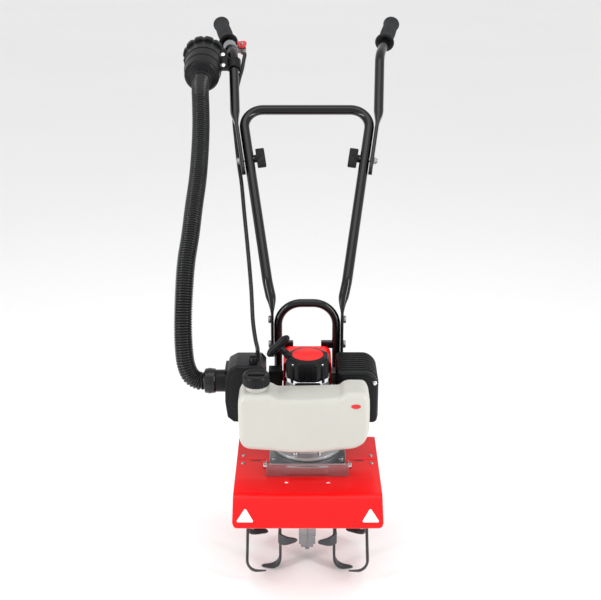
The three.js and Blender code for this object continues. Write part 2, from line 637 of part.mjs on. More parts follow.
const shroudX = [-SHROUD_WIDTH / 2, SHROUD_WIDTH / 2];
const shroudZ = [CRANK_Z - SHROUD_HEIGHT / 2, CRANK_Z + SHROUD_HEIGHT / 2];
const inset = ([a, b], by) => [a + by, b - by];
const PORT_Y = CASE_BACK + 34;
const shroud = cut(
  prism(roundedRectangle(shroudX, shroudZ, 14), SHROUD_BACK - SHROUD_FRONT, alongY(SHROUD_BACK)),
  prism(
    roundedRectangle(inset(shroudX, 2), inset(shroudZ, 2), 12),
    SHROUD_BACK - SHROUD_FRONT,
    alongY(SHROUD_BACK - 2),
  ),
  block([-90, 90], [PORT_Y - 15, PORT_Y + 15], [CRANK_Z - 15, CRANK_Z + 15]),
  alongStroke(SHROUD_BACK - 5, SHROUD_BACK + 1, 11, 20),
  block([-32, 32], [SHROUD_FRONT - 1, SHROUD_FRONT + 24], [shroudZ[0] - 1, shroudZ[0] + 3]),
);
add("cylinder_shroud", shroud, RED_PAINT());

// ---- muffler ----
const [coverX, coverY, coverZ] = [MUFFLER_COVER_X, MUFFLER_COVER_Y, MUFFLER_COVER_Z];
function coverOutline(by) {
  const [x0, x1] = [coverX[0] - (by ? 5 : 0), coverX[1] - by];
  const [z0, z1] = inset(coverZ, by);
  const [low, high] = [9 - by, 26 - by];
  const shape = new THREE.Shape();
  shape.moveTo(x0, z0);
  shape.lineTo(x1 - low, z0);
  shape.absarc(x1 - low, z0 + low, low, -Math.PI / 2, 0);
  shape.lineTo(x1, z1 - high);
  shape.absarc(x1 - high, z1 - high, high, 0, Math.PI / 2);
  shape.lineTo(x0, z1);
  return shape;
}
let mufflerCover = cut(
  prism(coverOutline(0), coverY[1] - coverY[0], alongY(coverY[1])),
  prism(coverOutline(SHEET), coverY[1] - coverY[0] - 2 * SHEET, alongY(coverY[1] - SHEET)),
);
const LOUVRES = 5;
for (let i = 0; i < LOUVRES; i++) {
  const y = coverY[0] + 18 + i * 16;
  const slotX = [coverX[0] + 12, coverX[1] - 26];
  mufflerCover = cut(mufflerCover, block(slotX, [y, y + 5], [coverZ[1] - 4, coverZ[1] + 1]));
}
add("muffler_cover", mufflerCover, BLACK_PLASTIC());
// The muffler's can, hollow, with its exhaust pipe from the cylinder opening into it.
const MUFFLER_INSET = 13;
const MUFFLER_WALL = 2;
const mufflerCan = (by) =>
  prism(
    roundedRectangle([coverX[0] + 6 + by, coverX[1] - 12 - by], inset(coverZ, 12 + by), 12 - by),
    coverY[1] - coverY[0] - 2 * (MUFFLER_INSET + by),
    alongY(coverY[1] - MUFFLER_INSET - by),
  );
const exhaustPort = (half, x0, x1) =>
  block([x0, x1], [PORT_Y - half, PORT_Y + half], [CRANK_Z - half, CRANK_Z + half]);
const muffler = cut(
  join(mufflerCan(0), exhaustPort(12, FIN_SIZE / 2 + 1, coverX[0] + 7)),
  mufflerCan(MUFFLER_WALL),
  exhaustPort(9, FIN_SIZE / 2, coverX[0] + 12),
);
add("muffler", muffler, STEEL());

// ---- carburettor and air box ----
const CARB_X = [AIR_BOX_X[1] + 4, -SHROUD_WIDTH / 2 - 2];
const carburettor = join(
  block(CARB_X, [PORT_Y - 14, PORT_Y + 14], [CRANK_Z - 15, CRANK_Z + 15]),
  rod(V(CARB_X[1] - 1, PORT_Y, CRANK_Z), V(-FIN_SIZE / 2 - 1, PORT_Y, CRANK_Z), 10, 20),
);
add("carburettor", carburettor, CAST());

const [boxX, boxY, boxZ] = [AIR_BOX_X, AIR_BOX_Y, AIR_BOX_Z];
const boxOutline = (by) => [
  [boxX[0] + 14, boxZ[0] + by],
  [boxX[0] + 3 + by, boxZ[0] + 8],
  [boxX[0] + by, boxZ[0] + 40],
  [boxX[0] + 2 + by, boxZ[1] - 26],
  [boxX[0] + 12 + by, boxZ[1] - 12],
  [boxX[0] + 28, boxZ[1] - by],
  [boxX[1] - 8, boxZ[1] - by],
  [boxX[1] - by, boxZ[1] - 10],
  [boxX[1] - by, boxZ[0] + 8],
  [boxX[1] - 8, boxZ[0] + by],
];
const COVER_BACK = boxY[0] + 7;
const NECK_Y = 24;
const NECK_Z = 368;
const NECK_END = boxX[0] - 22;
const CUFF_END = NECK_END - 21;
const neckPoint = (x) => V(x, NECK_Y, NECK_Z);
const airBox = cut(
  join(
    prism(boxOutline(0), boxY[1] - COVER_BACK - GAP, alongY(boxY[1])),
    rod(neckPoint(boxX[0] + 4), neckPoint(NECK_END), NECK_RADIUS, 20),
    rod(neckPoint(NECK_END + 1), neckPoint(CUFF_END), CUFF_RADIUS, 20),
  ),
  prism(boxOutline(2.5), boxY[1] - boxY[0], alongY(boxY[1] - 2.5)),
  rod(neckPoint(boxX[0] + 8), neckPoint(CUFF_END - 1), HOSE_RADIUS - 3, 24),
  rod(V(boxX[1] - 5, PORT_Y - 14, CRANK_Z), V(boxX[1] + 1, PORT_Y - 14, CRANK_Z), 9, 20),
);
add("air_box", airBox, BLACK_PLASTIC());
const airCover = prism(boxOutline(0), COVER_BACK - boxY[0] - 4, alongY(COVER_BACK), {
  bevelEnabled: true,
  bevelThickness: 2,
  bevelSize: 2,
  bevelOffset: -2,
  bevelSegments: 1,
});
add("air_box_cover", airCover.translate([0, -2, 0]), BLACK_PLASTIC());
const CHOKE = V(boxX[0] + 49, 12, boxZ[1] + GAP);
const chokeKnob = [[0, 0], [7.5, 0], [8, 3], [8, 10], [6.5, 13], [0, 13]];
const around = (middle, half) => [middle - half, middle + half];
const chokeGrip = block(around(CHOKE.x, 7), around(CHOKE.y, 1.5), [CHOKE.z + 8, CHOKE.z + 15]);
add("choke_knob", join(turned(chokeKnob, 20, CHOKE), chokeGrip), BLACK_PLASTIC());

// ---- fuel tank ----
const PANEL_RISE = 5;
function tankOutline(by) {
  const [x0, x1] = inset(TANK_X, by);
  const [z0, z1] = inset(TANK_Z, by);
  const high = z1 + TANK_LOBE;
  const [right, left] = TANK_CORNERS.map((radius) => radius - by);
  const shape = new THREE.Shape();
  shape.moveTo(x0 + right, z0 + 4);
  shape.quadraticCurveTo((x0 + x1) / 2, z0 - 4, x1 - left, z0 + 4);
  shape.absarc(x1 - left, z0 + 4 + left, left, -Math.PI / 2, 0);
  shape.lineTo(x1, z1 - 8);
  shape.quadraticCurveTo(x1, high, x1 - 16, high);
  shape.lineTo(x1 - 34, high);
  shape.quadraticCurveTo(x1 - 46, high, x1 - 54, z1);
  shape.lineTo(x0 + 68, z1);
  shape.quadraticCurveTo(x0 + 58, high - 4, x0 + 48, high - 4);
  shape.lineTo(x0 + 16, high - 4);
  shape.quadraticCurveTo(x0, high - 4, x0, z1 - 10);
  shape.lineTo(x0, z0 + 4 + right);
  shape.absarc(x0 + right, z0 + 4 + right, right, Math.PI, 1.5 * Math.PI);
  return shape;
}
// A tank skin: the outline with a rolled edge front and back.
function tankBody(by, roll) {
  const [y0, y1] = inset([TANK_Y[0] + PANEL_RISE, TANK_Y[1]], by);
  const settings = { bevelEnabled: true, bevelSegments: 2, curveSegments: 4 };
  Object.assign(settings, { bevelThickness: roll, bevelSize: roll, bevelOffset: -roll });
  return prism(tankOutline(by), y1 - y0 - 2 * roll, alongY(y1 - roll), settings);
}
const tankMiddle = (TANK_X[0] + TANK_X[1]) / 2;
const panelY = [TANK_Y[0], TANK_Y[0] + PANEL_RISE];
const panel = prism(
  [
    [tankMiddle - 62, panelY[1] + 6],
    [tankMiddle - 60, panelY[1]],
    [tankMiddle - 29, panelY[0]],
    [tankMiddle + 29, panelY[0]],
    [tankMiddle + 60, panelY[1]],
    [tankMiddle + 62, panelY[1] + 6],
  ],
  TANK_Z[1] - TANK_Z[0] - 22,
  alongZ(TANK_Z[0] + 11),
);
const FILLER = V(TANK_X[0] + 32, (TANK_Y[0] + TANK_Y[1]) / 2 - 1, TANK_Z[1] + TANK_LOBE + 5);
const filler = (z0, z1, radius) => rod(V(FILLER.x, FILLER.y, z0), V(FILLER.x, FILLER.y, z1), radius, 20);
const tank = cut(
  join(tankBody(0, 9), panel, filler(TANK_Z[1], FILLER.z, CAP_RADIUS - 5)),
  tankBody(TANK_WALL, 7),
  filler(TANK_Z[1] - 6, FILLER.z + 1, CAP_RADIUS - 8),
);
add("fuel_tank", tank, TANK_PLASTIC());
const capProfile = [
  [0, 0],
  [CAP_RADIUS, 0],
  [CAP_RADIUS, CAP_HEIGHT - 4],
  [CAP_RADIUS - 3, CAP_HEIGHT],
  [0, CAP_HEIGHT + 1],
];
add("fuel_cap", turned(capProfile, 28, FILLER.clone().add(V(0, 0, GAP))), BLACK_PLASTIC());

// ---- recoil starter ----
const octagon = (across) => {
  const reach = across / 2 / Math.cos(Math.PI / 8);
  return Array.from({ length: 8 }, (_, i) => {
    const angle = ((i + 0.5) * Math.PI) / 4;
    return [reach * Math.cos(angle), reach * Math.sin(angle)];
  });
};
const PULL = V(-1, 0, 1).normalize();
const GRIP_ACROSS = V(1, 0, 1).normalize();
const GUIDE = V(-RECOIL_WIDTH / 2 + 9, 0, RECOIL_TOP - 8);
const pullPoint = (along) => GUIDE.clone().addScaledVector(PULL, along);
const RECOIL_WALL = 4;
const recoilHousing = cut(
  join(
    prism(octagon(RECOIL_WIDTH), RECOIL_HEIGHT - 4, alongZ(RECOIL_BASE)),
    prism(octagon(RECOIL_WIDTH - 8), 5, alongZ(RECOIL_TOP - 5)),
    rod(pullPoint(0), pullPoint(17), 8, 20, 6.5),
  ),
  cut(
    rod(axis(RECOIL_BASE - 1), axis(RECOIL_TOP - RECOIL_WALL), RECOIL_WIDTH / 2 - RECOIL_WALL, 32),
    rod(axis(RECOIL_BASE + 14), axis(RECOIL_TOP), 5, 20),
  ),
  rod(pullPoint(-14), pullPoint(18), 2.5, 12),
);
add("recoil_housing", recoilHousing, BLACK_PLASTIC());
const reelProfile = [
  [5.4, RECOIL_BASE + 16],
  [REEL_RADIUS, RECOIL_BASE + 16],
  [REEL_RADIUS, RECOIL_BASE + 19],
  [REEL_RADIUS - 5, RECOIL_BASE + 20],
  [REEL_RADIUS - 5, RECOIL_BASE + 25],
  [REEL_RADIUS, RECOIL_BASE + 26],
  [REEL_RADIUS, RECOIL_BASE + 29],
  [5.4, RECOIL_BASE + 29],
];
add("recoil_reel", ring(reelProfile, 20), BLACK_PLASTIC());

const GRIP_STEM = 17 + GAP;
const gripEnd = (by) => pullPoint(GRIP_STEM + 17).addScaledVector(GRIP_ACROSS, by);
const starterGrip = join(
  rod(pullPoint(GRIP_STEM), pullPoint(GRIP_STEM + 14), 5.5, 16, 7.5),
  rod(gripEnd(-28), gripEnd(28), 8, 16),
);
add("starter_grip", starterGrip, BLACK_PLASTIC());

// ---- hoop behind the engine ----
const hoopX = HOOP_HALF_WIDTH;
const hoopPoint = (x, z) => V(x, HOOP_Y, z);
const hoopCorner = (side) =>
  corner(
    hoopPoint(side * hoopX, HOOP_TOP - 100),
    hoopPoint(side * hoopX, HOOP_TOP),
    hoopPoint(0, HOOP_TOP),
    HOOP_CORNER,
    6,
  );
const HOOP_FOOT = PLATE_TOP + GAP;
const hoopPath = curveThrough([
  hoopPoint(-hoopX, HOOP_FOOT + 1),
  hoopPoint(-hoopX, HOOP_FOOT + 90),
  hoopPoint(-hoopX, HOOP_TOP - HOOP_CORNER - 30),
  ...hoopCorner(RIGHT),
  ...hoopCorner(LEFT).reverse(),
  hoopPoint(hoopX, HOOP_TOP - HOOP_CORNER - 30),
  hoopPoint(hoopX, HOOP_FOOT + 90),
  hoopPoint(hoopX, HOOP_FOOT + 1),
]);
let hoop = bar(hoopPath, HOOP_RADIUS, 34);
const STEADY_Z = 400;
for (const side of [LEFT, RIGHT]) {
  const foot = [side * hoopX - 13, side * hoopX + 13];
  const lug = [side * (hoopX - 4), side * 27].sort((a, b) => a - b);
  hoop = join(
    hoop,
    block(foot, [HOOP_Y - 15, HOOP_Y + 15], [HOOP_FOOT, HOOP_FOOT + 4]),
    block(lug, [HOOP_Y - 6, HOOP_Y + 6], [STEADY_Z - 7, STEADY_Z + 7]),
  );
}
add("engine_hoop", hoop, BLACK_PAINT());

// ---- lower handle ----
const mirror = ([x, y, z], side) => V(side * x, y, z);
const legLow = (side) => mirror(LEG_LOW, side);
const legHigh = (side) => mirror(LEG_HIGH, side);
const legWay = (side) => legHigh(side).sub(legLow(side)).normalize();
const outwards = (side) => {
  const way = legWay(side);
  const out = V(side, 0, 0);
  return out.addScaledVector(way, -out.dot(way)).normalize();
};
const TONGUE_X = HOOP_HALF_WIDTH + HOOP_RADIUS + GAP;
const TONGUE_Z = [372, 478];
const legStart = (side) => V(side * (TONGUE_X + TONGUE_THICK / 2), HOOP_Y, TONGUE_Z[1] - 6);
const crossEnd = (side) => V(side * (LEG_HIGH[0] + 3), ...CROSSBAR);
const legPoints = (side) => [
  legStart(side),
  legStart(side).add(V(side * 1, 1.5, 10)),
  V(side * 75.5, HOOP_Y + 9, TONGUE_Z[1] + 24),
  legLow(side).addScaledVector(legWay(side), 14),
  legLow(side).addScaledVector(legWay(side), 120),
  legHigh(side).addScaledVector(legWay(side), -60),
  ...corner(legLow(side), crossEnd(side), crossEnd(-side), CROSSBAR_CORNER, 6),
];
const framePath = curveThrough([...legPoints(RIGHT), ...legPoints(LEFT).reverse()]);
let handleFrame = bar(framePath, TUBE_RADIUS, 46, 12);
for (const side of [LEFT, RIGHT]) {
  const reach = [side * TONGUE_X, side * (TONGUE_X + TONGUE_THICK)].sort((a, b) => a - b);
  const pad = roundedRectangle([HOOP_Y - 13, HOOP_Y + 13], TONGUE_Z, 10);
  handleFrame = join(handleFrame, prism(pad, TONGUE_THICK, alongX(reach[0])));
}

// ---- fold joint ----
const boltPoint = (side) => legLow(side).addScaledVector(legWay(side), BOLT_ALONG_LEG);
const STUD_RADIUS = 4;
const alongBolt = (side, out) => boltPoint(side).addScaledVector(outwards(side), out);
for (const side of [LEFT, RIGHT]) {
  const hole = rod(alongBolt(side, -30), alongBolt(side, 30), STUD_RADIUS + GAP, 12);
  handleFrame = cut(handleFrame, hole);
}
add("handle_frame", handleFrame, BLACK_PAINT());

const BAR_OFFSET = TUBE_RADIUS + 2 * GAP + BAR_TONGUE_THICK / 2;
const gripWay = (side) => mirror(GRIP_END, side).sub(mirror(BAR_BEND, side)).normalize();
const gripStart = (side) => mirror(GRIP_END, side).addScaledVector(gripWay(side), -GRIP_LENGTH);
function barPath(side) {
  const from = (along, out) =>
    alongBolt(side, out).addScaledVector(legWay(side), along);
  const before = from(BAR_TONGUE[1] + 20, BAR_OFFSET + 2);
  const bend = mirror(BAR_BEND, side);
  const start = gripStart(side);
  return curveThrough([
    from(BAR_TONGUE[1] - 6, BAR_OFFSET),
    before,
    before.clone().lerp(bend, 0.4),
    ...corner(before, bend, start, BAR_BEND_RADIUS, 4),
    start,
    start.clone().addScaledVector(gripWay(side), GRIP_LENGTH / 2),
    mirror(GRIP_END, side).addScaledVector(gripWay(side), -4),
  ]);
}
for (const side of [LEFT, RIGHT]) {
  const way = legWay(side);
  const out = outwards(side);
  const basis = new THREE.Matrix4()
    .makeBasis(way, out.clone().cross(way).negate(), out.clone().negate())
    .setPosition(alongBolt(side, BAR_OFFSET + BAR_TONGUE_THICK / 2));
  const tongue = prism(
    roundedRectangle(BAR_TONGUE, [-12, 12], 11),
    BAR_TONGUE_THICK,
    basis,
  );
  const hole = rod(alongBolt(side, 5), alongBolt(side, 30), STUD_RADIUS + GAP, 12);
  const upperBar = cut(join(bar(barPath(side), TUBE_RADIUS, 18, 12), tongue), hole);
  add(sideName("upper_bar", side), upperBar, BLACK_PAINT());

  const length = GRIP_LENGTH;
  const r = GRIP_RADIUS;
  const grip = ring(
    [
      [TUBE_RADIUS + GAP, 0],
      [r + 6, 0],
      [r + 5, 4],
      [r, 9],
      [r + 1, length / 2],
      [r, length - 8],
      [r + 3, length - 5],
      [r + 3, length - 1],
      [TUBE_RADIUS + GAP, length],
    ],
    16,
    gripStart(side),
    gripWay(side),
  );
  add(sideName("grip", side), grip, GRIP_RUBBER());

  // A wing knob inside the leg; its stud passes both tubes and carries a nut outside.
  const inside = -TUBE_RADIUS - GAP;
  const outside = BAR_OFFSET + BAR_TONGUE_THICK / 2 + GAP;
  const wingTurn = new THREE.Matrix4()
    .makeBasis(way, out.clone().cross(way).negate(), out.clone().negate())
    .setPosition(alongBolt(side, inside - 14));
  const knob = join(
    rod(alongBolt(side, inside), alongBolt(side, inside - 16), 8, 12),
    prism(roundedRectangle([-21, 21], [-6, 6], 4), 9, wingTurn),
    rod(alongBolt(side, inside - 5), alongBolt(side, outside + 7), STUD_RADIUS, 12),
    rod(alongBolt(side, outside), alongBolt(side, outside + 5), 7.5, 6),
  );
  add(sideName("fold_knob", side), knob, BLACK_PLASTIC());
}

// ---- throttle and stop switch on the right bar ----
const rightBar = barPath(RIGHT);
const throttleSeat = mirror(BAR_BEND, RIGHT).lerp(gripStart(RIGHT), 0.62);
const throttleWay = gripWay(RIGHT);
const inboard = X_AXIS.clone().addScaledVector(throttleWay, -X_AXIS.dot(throttleWay)).normalize();
const upwards = inboard.clone().cross(throttleWay).normalize();
const throttlePoint = (along, into, up) =>
  throttleSeat
    .clone()
    .addScaledVector(throttleWay, along)
    .addScaledVector(inboard, into)
    .addScaledVector(upwards, up);
const throttleBasis = (up) =>
  new THREE.Matrix4().makeBasis(inboard, throttleWay, upwards).setPosition(throttlePoint(0, 0, up));
const LEVER_PIVOT = 25;
const PLATE_UNDER = -10; // the bracket plate's underside, below the bar's middle
const PLATE_DEEP = 8;
const SWITCH_RADIUS = 5;
const SWITCH_LENGTH = 8;
const SWITCH_TRAVEL = 2;
const SWITCH_SEAT = 2; // how far the button reaches into the plate when it is out
const switchPoint = (up) => throttlePoint(-2, LEVER_PIVOT + 1, up);
const switchTop = PLATE_UNDER + SWITCH_SEAT;
const throttleBracket = cut(
  join(
    rod(throttlePoint(-11, 0, 0), throttlePoint(9, 0, 0), TUBE_RADIUS + 4, 14),
    prism(roundedRectangle([8, 33], [-11, 9], 5), PLATE_DEEP, throttleBasis(PLATE_UNDER)),
    rod(throttlePoint(0, LEVER_PIVOT, -3), throttlePoint(0, LEVER_PIVOT, 9), 3, 12),
    rod(throttlePoint(-10, 26, -6), throttlePoint(-24, 26, -6), 5.2, 12, 4.6),
  ),
  rod(throttlePoint(-15, 0, 0), throttlePoint(15, 0, 0), TUBE_RADIUS + 3 * GAP, 14),
  rod(switchPoint(PLATE_UNDER - 1), switchPoint(switchTop + SWITCH_TRAVEL + GAP), SWITCH_RADIUS + GAP, 16),
);
add("throttle_bracket", throttleBracket, STEEL());
const leverPlate = new THREE.Shape([
  new THREE.Vector2(LEVER_PIVOT - 7, -6),
  new THREE.Vector2(LEVER_PIVOT + 7, -6),
  new THREE.Vector2(LEVER_PIVOT + 12, 10),
  new THREE.Vector2(LEVER_PIVOT + 10, 20),
  new THREE.Vector2(LEVER_PIVOT - 8, 20),
  new THREE.Vector2(LEVER_PIVOT - 8, 8),
]);
const leverHole = rod(throttlePoint(0, LEVER_PIVOT, -5), throttlePoint(0, LEVER_PIVOT, 15), 3.3, 12);
add("throttle_lever", cut(prism(leverPlate, 4, throttleBasis(0)), leverHole), paint(0xb53a44, 0.4));
const stopSwitch = rod(switchPoint(switchTop), switchPoint(switchTop - SWITCH_LENGTH), SWITCH_RADIUS, 16);
add("stop_switch", stopSwitch, paint(0xc01818, 0.4));

// ---- remote air filter on the right bar ----
const tilt = radians(CANISTER_TILT);
const canisterWay = V(0, Math.cos(tilt), Math.sin(tilt));
const canisterBase = V(...CANISTER_BASE);
const canisterPoint = (along, out = 0) =>
  canisterBase.clone().addScaledVector(canisterWay, along).add(V(out, 0, 0));
const [r0, r1] = CANISTER_RADIUS;
const canisterCup = ring(
  [
    [HOSE_RADIUS - 4, 0],
    [r0 - 5, 0],
    [r0, 5],
    [r1, CANISTER_LENGTH],
    [r1 - 2.5, CANISTER_LENGTH],
    [r0 - 3, 6],
    [HOSE_RADIUS - 4, 3],
  ],
  20,
  canisterBase,
  canisterWay,
);
const boss = [
  [HOSE_RADIUS - 4, -18],
  [HOSE_RADIUS + 3, -18],
  [HOSE_RADIUS + 3, 2],
  [HOSE_RADIUS - 4, 2],
];
// The bracket's foot stops at the bar, in a ring round it.
const clampAt = rightBar.getPointAt(0.42);
const clampWay = rightBar.getTangentAt(0.42);
const clampEnd = (along) => clampAt.clone().addScaledVector(clampWay, along);
const bracketSpan = [clampAt.x - 46, clampAt.x - 8];
const canisterCore = [[0, 6], [r0 - 1, 6], [r1 - 1, CANISTER_LENGTH], [0, CANISTER_LENGTH]];
const canister = cut(
  join(
    canisterCup,
    ring(boss, 28, canisterBase, canisterWay),
    rod(clampEnd(-11), clampEnd(11), TUBE_RADIUS + 5, 14),
    cut(
      block(bracketSpan, [clampAt.y - 11, clampAt.y + 11], [clampAt.z - 5, clampAt.z + 9]),
      turned(canisterCore, 20, canisterBase, canisterWay),
    ),
  ),
  rod(clampEnd(-20), clampEnd(20), TUBE_RADIUS + 3 * GAP, 14),
);
add("filter_canister", canister, BLACK_PLASTIC());

const lidBase = CANISTER_LENGTH + GAP;
let lid = turned(
  [
    [0, 0],
    [LID_RADIUS, 0],
    [LID_RADIUS, 12],
    [LID_RADIUS - 5, 17],
    [0, 19],
  ],
  24,
  canisterPoint(lidBase),
  canisterWay,
);
const canisterSide = canisterWay.clone().cross(X_AXIS).normalize();
const NOTCHES = 12;
for (let i = 0; i < NOTCHES; i++) {
  const angle = (2 * Math.PI * i) / NOTCHES;
  const out = X_AXIS.clone().multiplyScalar(Math.cos(angle)).addScaledVector(canisterSide, Math.sin(angle));
  const at = canisterPoint(lidBase - 1).addScaledVector(out, LID_RADIUS + 1.5);
  lid = cut(lid, rod(at, at.clone().addScaledVector(canisterWay, 25), 4, 6));
}
add("filter_lid", lid, BLACK_PLASTIC());
const element = [
  [16, 8],
  [r0 - 5, 8],
  [r0 - 2, CANISTER_LENGTH - 2],
  [16, CANISTER_LENGTH - 2],
];
add("filter_element", ring(element, 28, canisterBase, canisterWay), PAPER());

// ---- hose and cable conduit: chosen routes ----
const HOSE_POINTS = [
  [-193.4, 24, 368],
  [-204, 24, 368],
  [-218, 24, 377],
  [-227, 25, 398],
  [-231, 30, 432],
  [-232, 41, 475],
  [-231, 60, 519],
  [-228, 98, 577],
  [-222, 136, 620],
  [-218, 178, 662],
  [-213, 224, 706],
  [-211, 268, 750],
  [-211, 308, 794],
  [-213, 338, 830],
  [-215, 360, 854],
  [-216, 379, 863],
  [-216, 394.4, 867.6],
];
const CONDUIT_POINTS = [
  [-132.2, 511.2, 906.4],
  [-131.2, 506.7, 905.1],
  [-133, 497, 896],
  [-136.5, 485, 878],
  [-142, 470, 860],
  [-149, 443, 828],
  [-151, 410, 788],
  [-146, 377, 749],
  [-139, 340, 706],
  [-133, 312, 678],
  [-126, 262, 632],
  [-117, 205, 570],
  [-109, 150, 506],
  [-104, 98, 456],
  [-98, 62, 434],
  [-94, 48, 422],
  [-94, 47, 409.6],
];
const route = (points) => curveThrough(points.map((p) => V(...p)));
add("intake_hose", bar(route(HOSE_POINTS), HOSE_RADIUS, 26, 12), HOSE_RUBBER());
add("throttle_conduit", bar(route(CONDUIT_POINTS), CONDUIT_RADIUS, 46, 8), HOSE_RUBBER());

// The part's origin is the middle of its base; the two flexible pieces don't count in that box.
const extent = new THREE.Box3();
for (const mesh of part.children)
  if (!["intake_hose", "throttle_conduit"].includes(mesh.name)) extent.expandByObject(mesh);
const middle = extent.getCenter(new THREE.Vector3());
part.position.set(-middle.x, -middle.y, -extent.min.z);

export default part;
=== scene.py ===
"""Mini tiller: the looks of a small petrol cultivator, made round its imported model."""

import json
import math

import bmesh
import bpy
import numpy as np
from bpy.props import FloatProperty, FloatVectorProperty, IntProperty, PointerProperty
from bpy.types import Operator, Panel, PropertyGroup
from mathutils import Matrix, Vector


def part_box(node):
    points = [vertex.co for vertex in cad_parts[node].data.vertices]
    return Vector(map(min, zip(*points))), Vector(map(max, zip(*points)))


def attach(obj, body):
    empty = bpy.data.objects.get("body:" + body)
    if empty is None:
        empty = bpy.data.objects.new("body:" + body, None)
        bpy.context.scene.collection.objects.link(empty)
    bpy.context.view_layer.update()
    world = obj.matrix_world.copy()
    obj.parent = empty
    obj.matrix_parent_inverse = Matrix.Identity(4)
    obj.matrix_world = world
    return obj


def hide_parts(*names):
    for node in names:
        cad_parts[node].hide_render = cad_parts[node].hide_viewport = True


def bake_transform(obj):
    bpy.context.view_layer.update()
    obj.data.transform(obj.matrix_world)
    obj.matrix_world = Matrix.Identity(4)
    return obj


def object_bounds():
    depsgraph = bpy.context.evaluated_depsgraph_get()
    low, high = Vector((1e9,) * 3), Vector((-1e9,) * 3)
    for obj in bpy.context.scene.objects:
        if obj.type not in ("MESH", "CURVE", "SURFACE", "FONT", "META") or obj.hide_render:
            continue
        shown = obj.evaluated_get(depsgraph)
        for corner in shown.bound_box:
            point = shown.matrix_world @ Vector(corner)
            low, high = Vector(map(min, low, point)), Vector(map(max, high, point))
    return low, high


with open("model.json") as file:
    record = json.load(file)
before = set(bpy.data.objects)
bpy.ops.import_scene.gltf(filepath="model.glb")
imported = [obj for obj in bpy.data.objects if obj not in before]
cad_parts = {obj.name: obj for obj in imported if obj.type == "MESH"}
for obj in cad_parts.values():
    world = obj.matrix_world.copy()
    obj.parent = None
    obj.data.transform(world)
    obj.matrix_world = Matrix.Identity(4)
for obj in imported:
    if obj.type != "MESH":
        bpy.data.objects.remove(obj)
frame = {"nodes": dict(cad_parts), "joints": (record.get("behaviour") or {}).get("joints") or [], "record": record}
CAD_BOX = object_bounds()

bl_info = {
    "name": "Mini Tiller",
    "version": (1, 0, 0),
    "blender": (4, 5, 0),
    "location": "View3D > Sidebar > Tiller",
    "description": "Builds the finished surfaces and materials of a mini tiller",
    "category": "Object",
}

# ---- places ----
# Shapes are worked out in millimetres from the machine's own origin: the crankshaft's line on the
# ground. +X is the operator's left, +Y points back to the operator.
MM = 0.001
LEFT, RIGHT = 1, -1
JOINTS = {joint["name"]: joint for joint in frame["joints"]}
END_CAP_FOOT = 0.016
CRANK = JOINTS["crank_spin"]["pos_m"]
ORIGIN = np.array([CRANK[0], CRANK[1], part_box("gearbox_end_cap")[0].z - END_CAP_FOOT])


def place(points):
    """Machine millimetres as metres in the row's frame."""
    return ORIGIN + np.asarray(points, float) * MM


def unit(vector):
    """A vector divided by its length."""
    vector = np.asarray(vector, float)
    return vector / np.linalg.norm(vector)


def mirrored(point, side):
    """A point given for the left side, moved to a side by the sign of its x."""
    return np.array([side * point[0], point[1], point[2]], float)


LEG_LOW = (77, 146, 522)
LEG_HIGH = (129, 375, 780)
CROSS_END = (134, 400, 808)
BOLT_ALONG_LEG = 270
BAR_OFFSET = 14.6
BAR_BEND = (154, 488, 906)
GRIP_END = (190, 651, 953)
GRIP_LENGTH = 106
TUBE = 10.0
CANISTER_BASE = np.array([-216.0, 412.0, 873.0])
CANISTER_WAY = np.array([0, math.cos(math.radians(17)), math.sin(math.radians(17))])
CANISTER_LENGTH = 88.0
PLATE_TOP = 243.0
HOUSING_FOOT = np.array([0.0, 0.0, 243.3])
HOOP_HALF = 56.5
HOOP_CROWN = 486
FENDER_TOP = 215.0
FENDER_HALF = 134.5
LIP_SLOPE = math.radians(40)
CAP_SEAT = (-91, -98.5, 418)
HOSE_NECK = (-193, 24, 368)
CRANK_Z = 357.4
AXLE = np.array([0.0, -32.0, 102.0])


def leg_way(side):
    """The direction up a leg of the handle frame."""
    return unit(mirrored(LEG_HIGH, side) - mirrored(LEG_LOW, side))


def outwards(side):
    """Across the leg, away from the machine's middle."""
    way = leg_way(side)
    out = np.array([side, 0.0, 0.0])
    return unit(out - way * out.dot(way))


def bolt_point(side):
    """Where the fold bolt passes through a leg."""
    return mirrored(LEG_LOW, side) + BOLT_ALONG_LEG * leg_way(side)


def grip_way(side):
    """The direction along a grip, towards its end."""
    return unit(mirrored(GRIP_END, side) - mirrored(BAR_BEND, side))


# ---- curves ----
def catmull(points, per_span=40):
    """A centripetal Catmull-Rom curve: each span is blended from its four nearest points, with knots
    spaced by the square root of their distance. The ends are carried on by reflection."""
    points = np.asarray(points, float)
    first, last = 2 * points[0] - points[1], 2 * points[-1] - points[-2]
    p = np.vstack([first, points, last])
    p0, p1, p2, p3 = p[:-3], p[1:-2], p[2:-1], p[3:]
    gaps = [np.sqrt(np.linalg.norm(b - a, axis=1))[:, None] for a, b in ((p0, p1), (p1, p2), (p2, p3))]
    d0, d1, d2 = gaps
    m1 = ((p1 - p0) / d0 - (p2 - p0) / (d0 + d1) + (p2 - p1) / d1) * d1
    m2 = ((p2 - p1) / d1 - (p3 - p1) / (d1 + d2) + (p3 - p2) / d2) * d1
    t = np.linspace(0, 1, per_span, endpoint=False)[:, None, None]
    h1, h2 = 2 * t**3 - 3 * t**2 + 1, t**3 - 2 * t**2 + t
    h3, h4 = -2 * t**3 + 3 * t**2, t**3 - t**2
    curve = h1 * p1 + h2 * m1 + h3 * p2 + h4 * m2
    return np.vstack([curve.transpose(1, 0, 2).reshape(-1, 3), points[-1]])


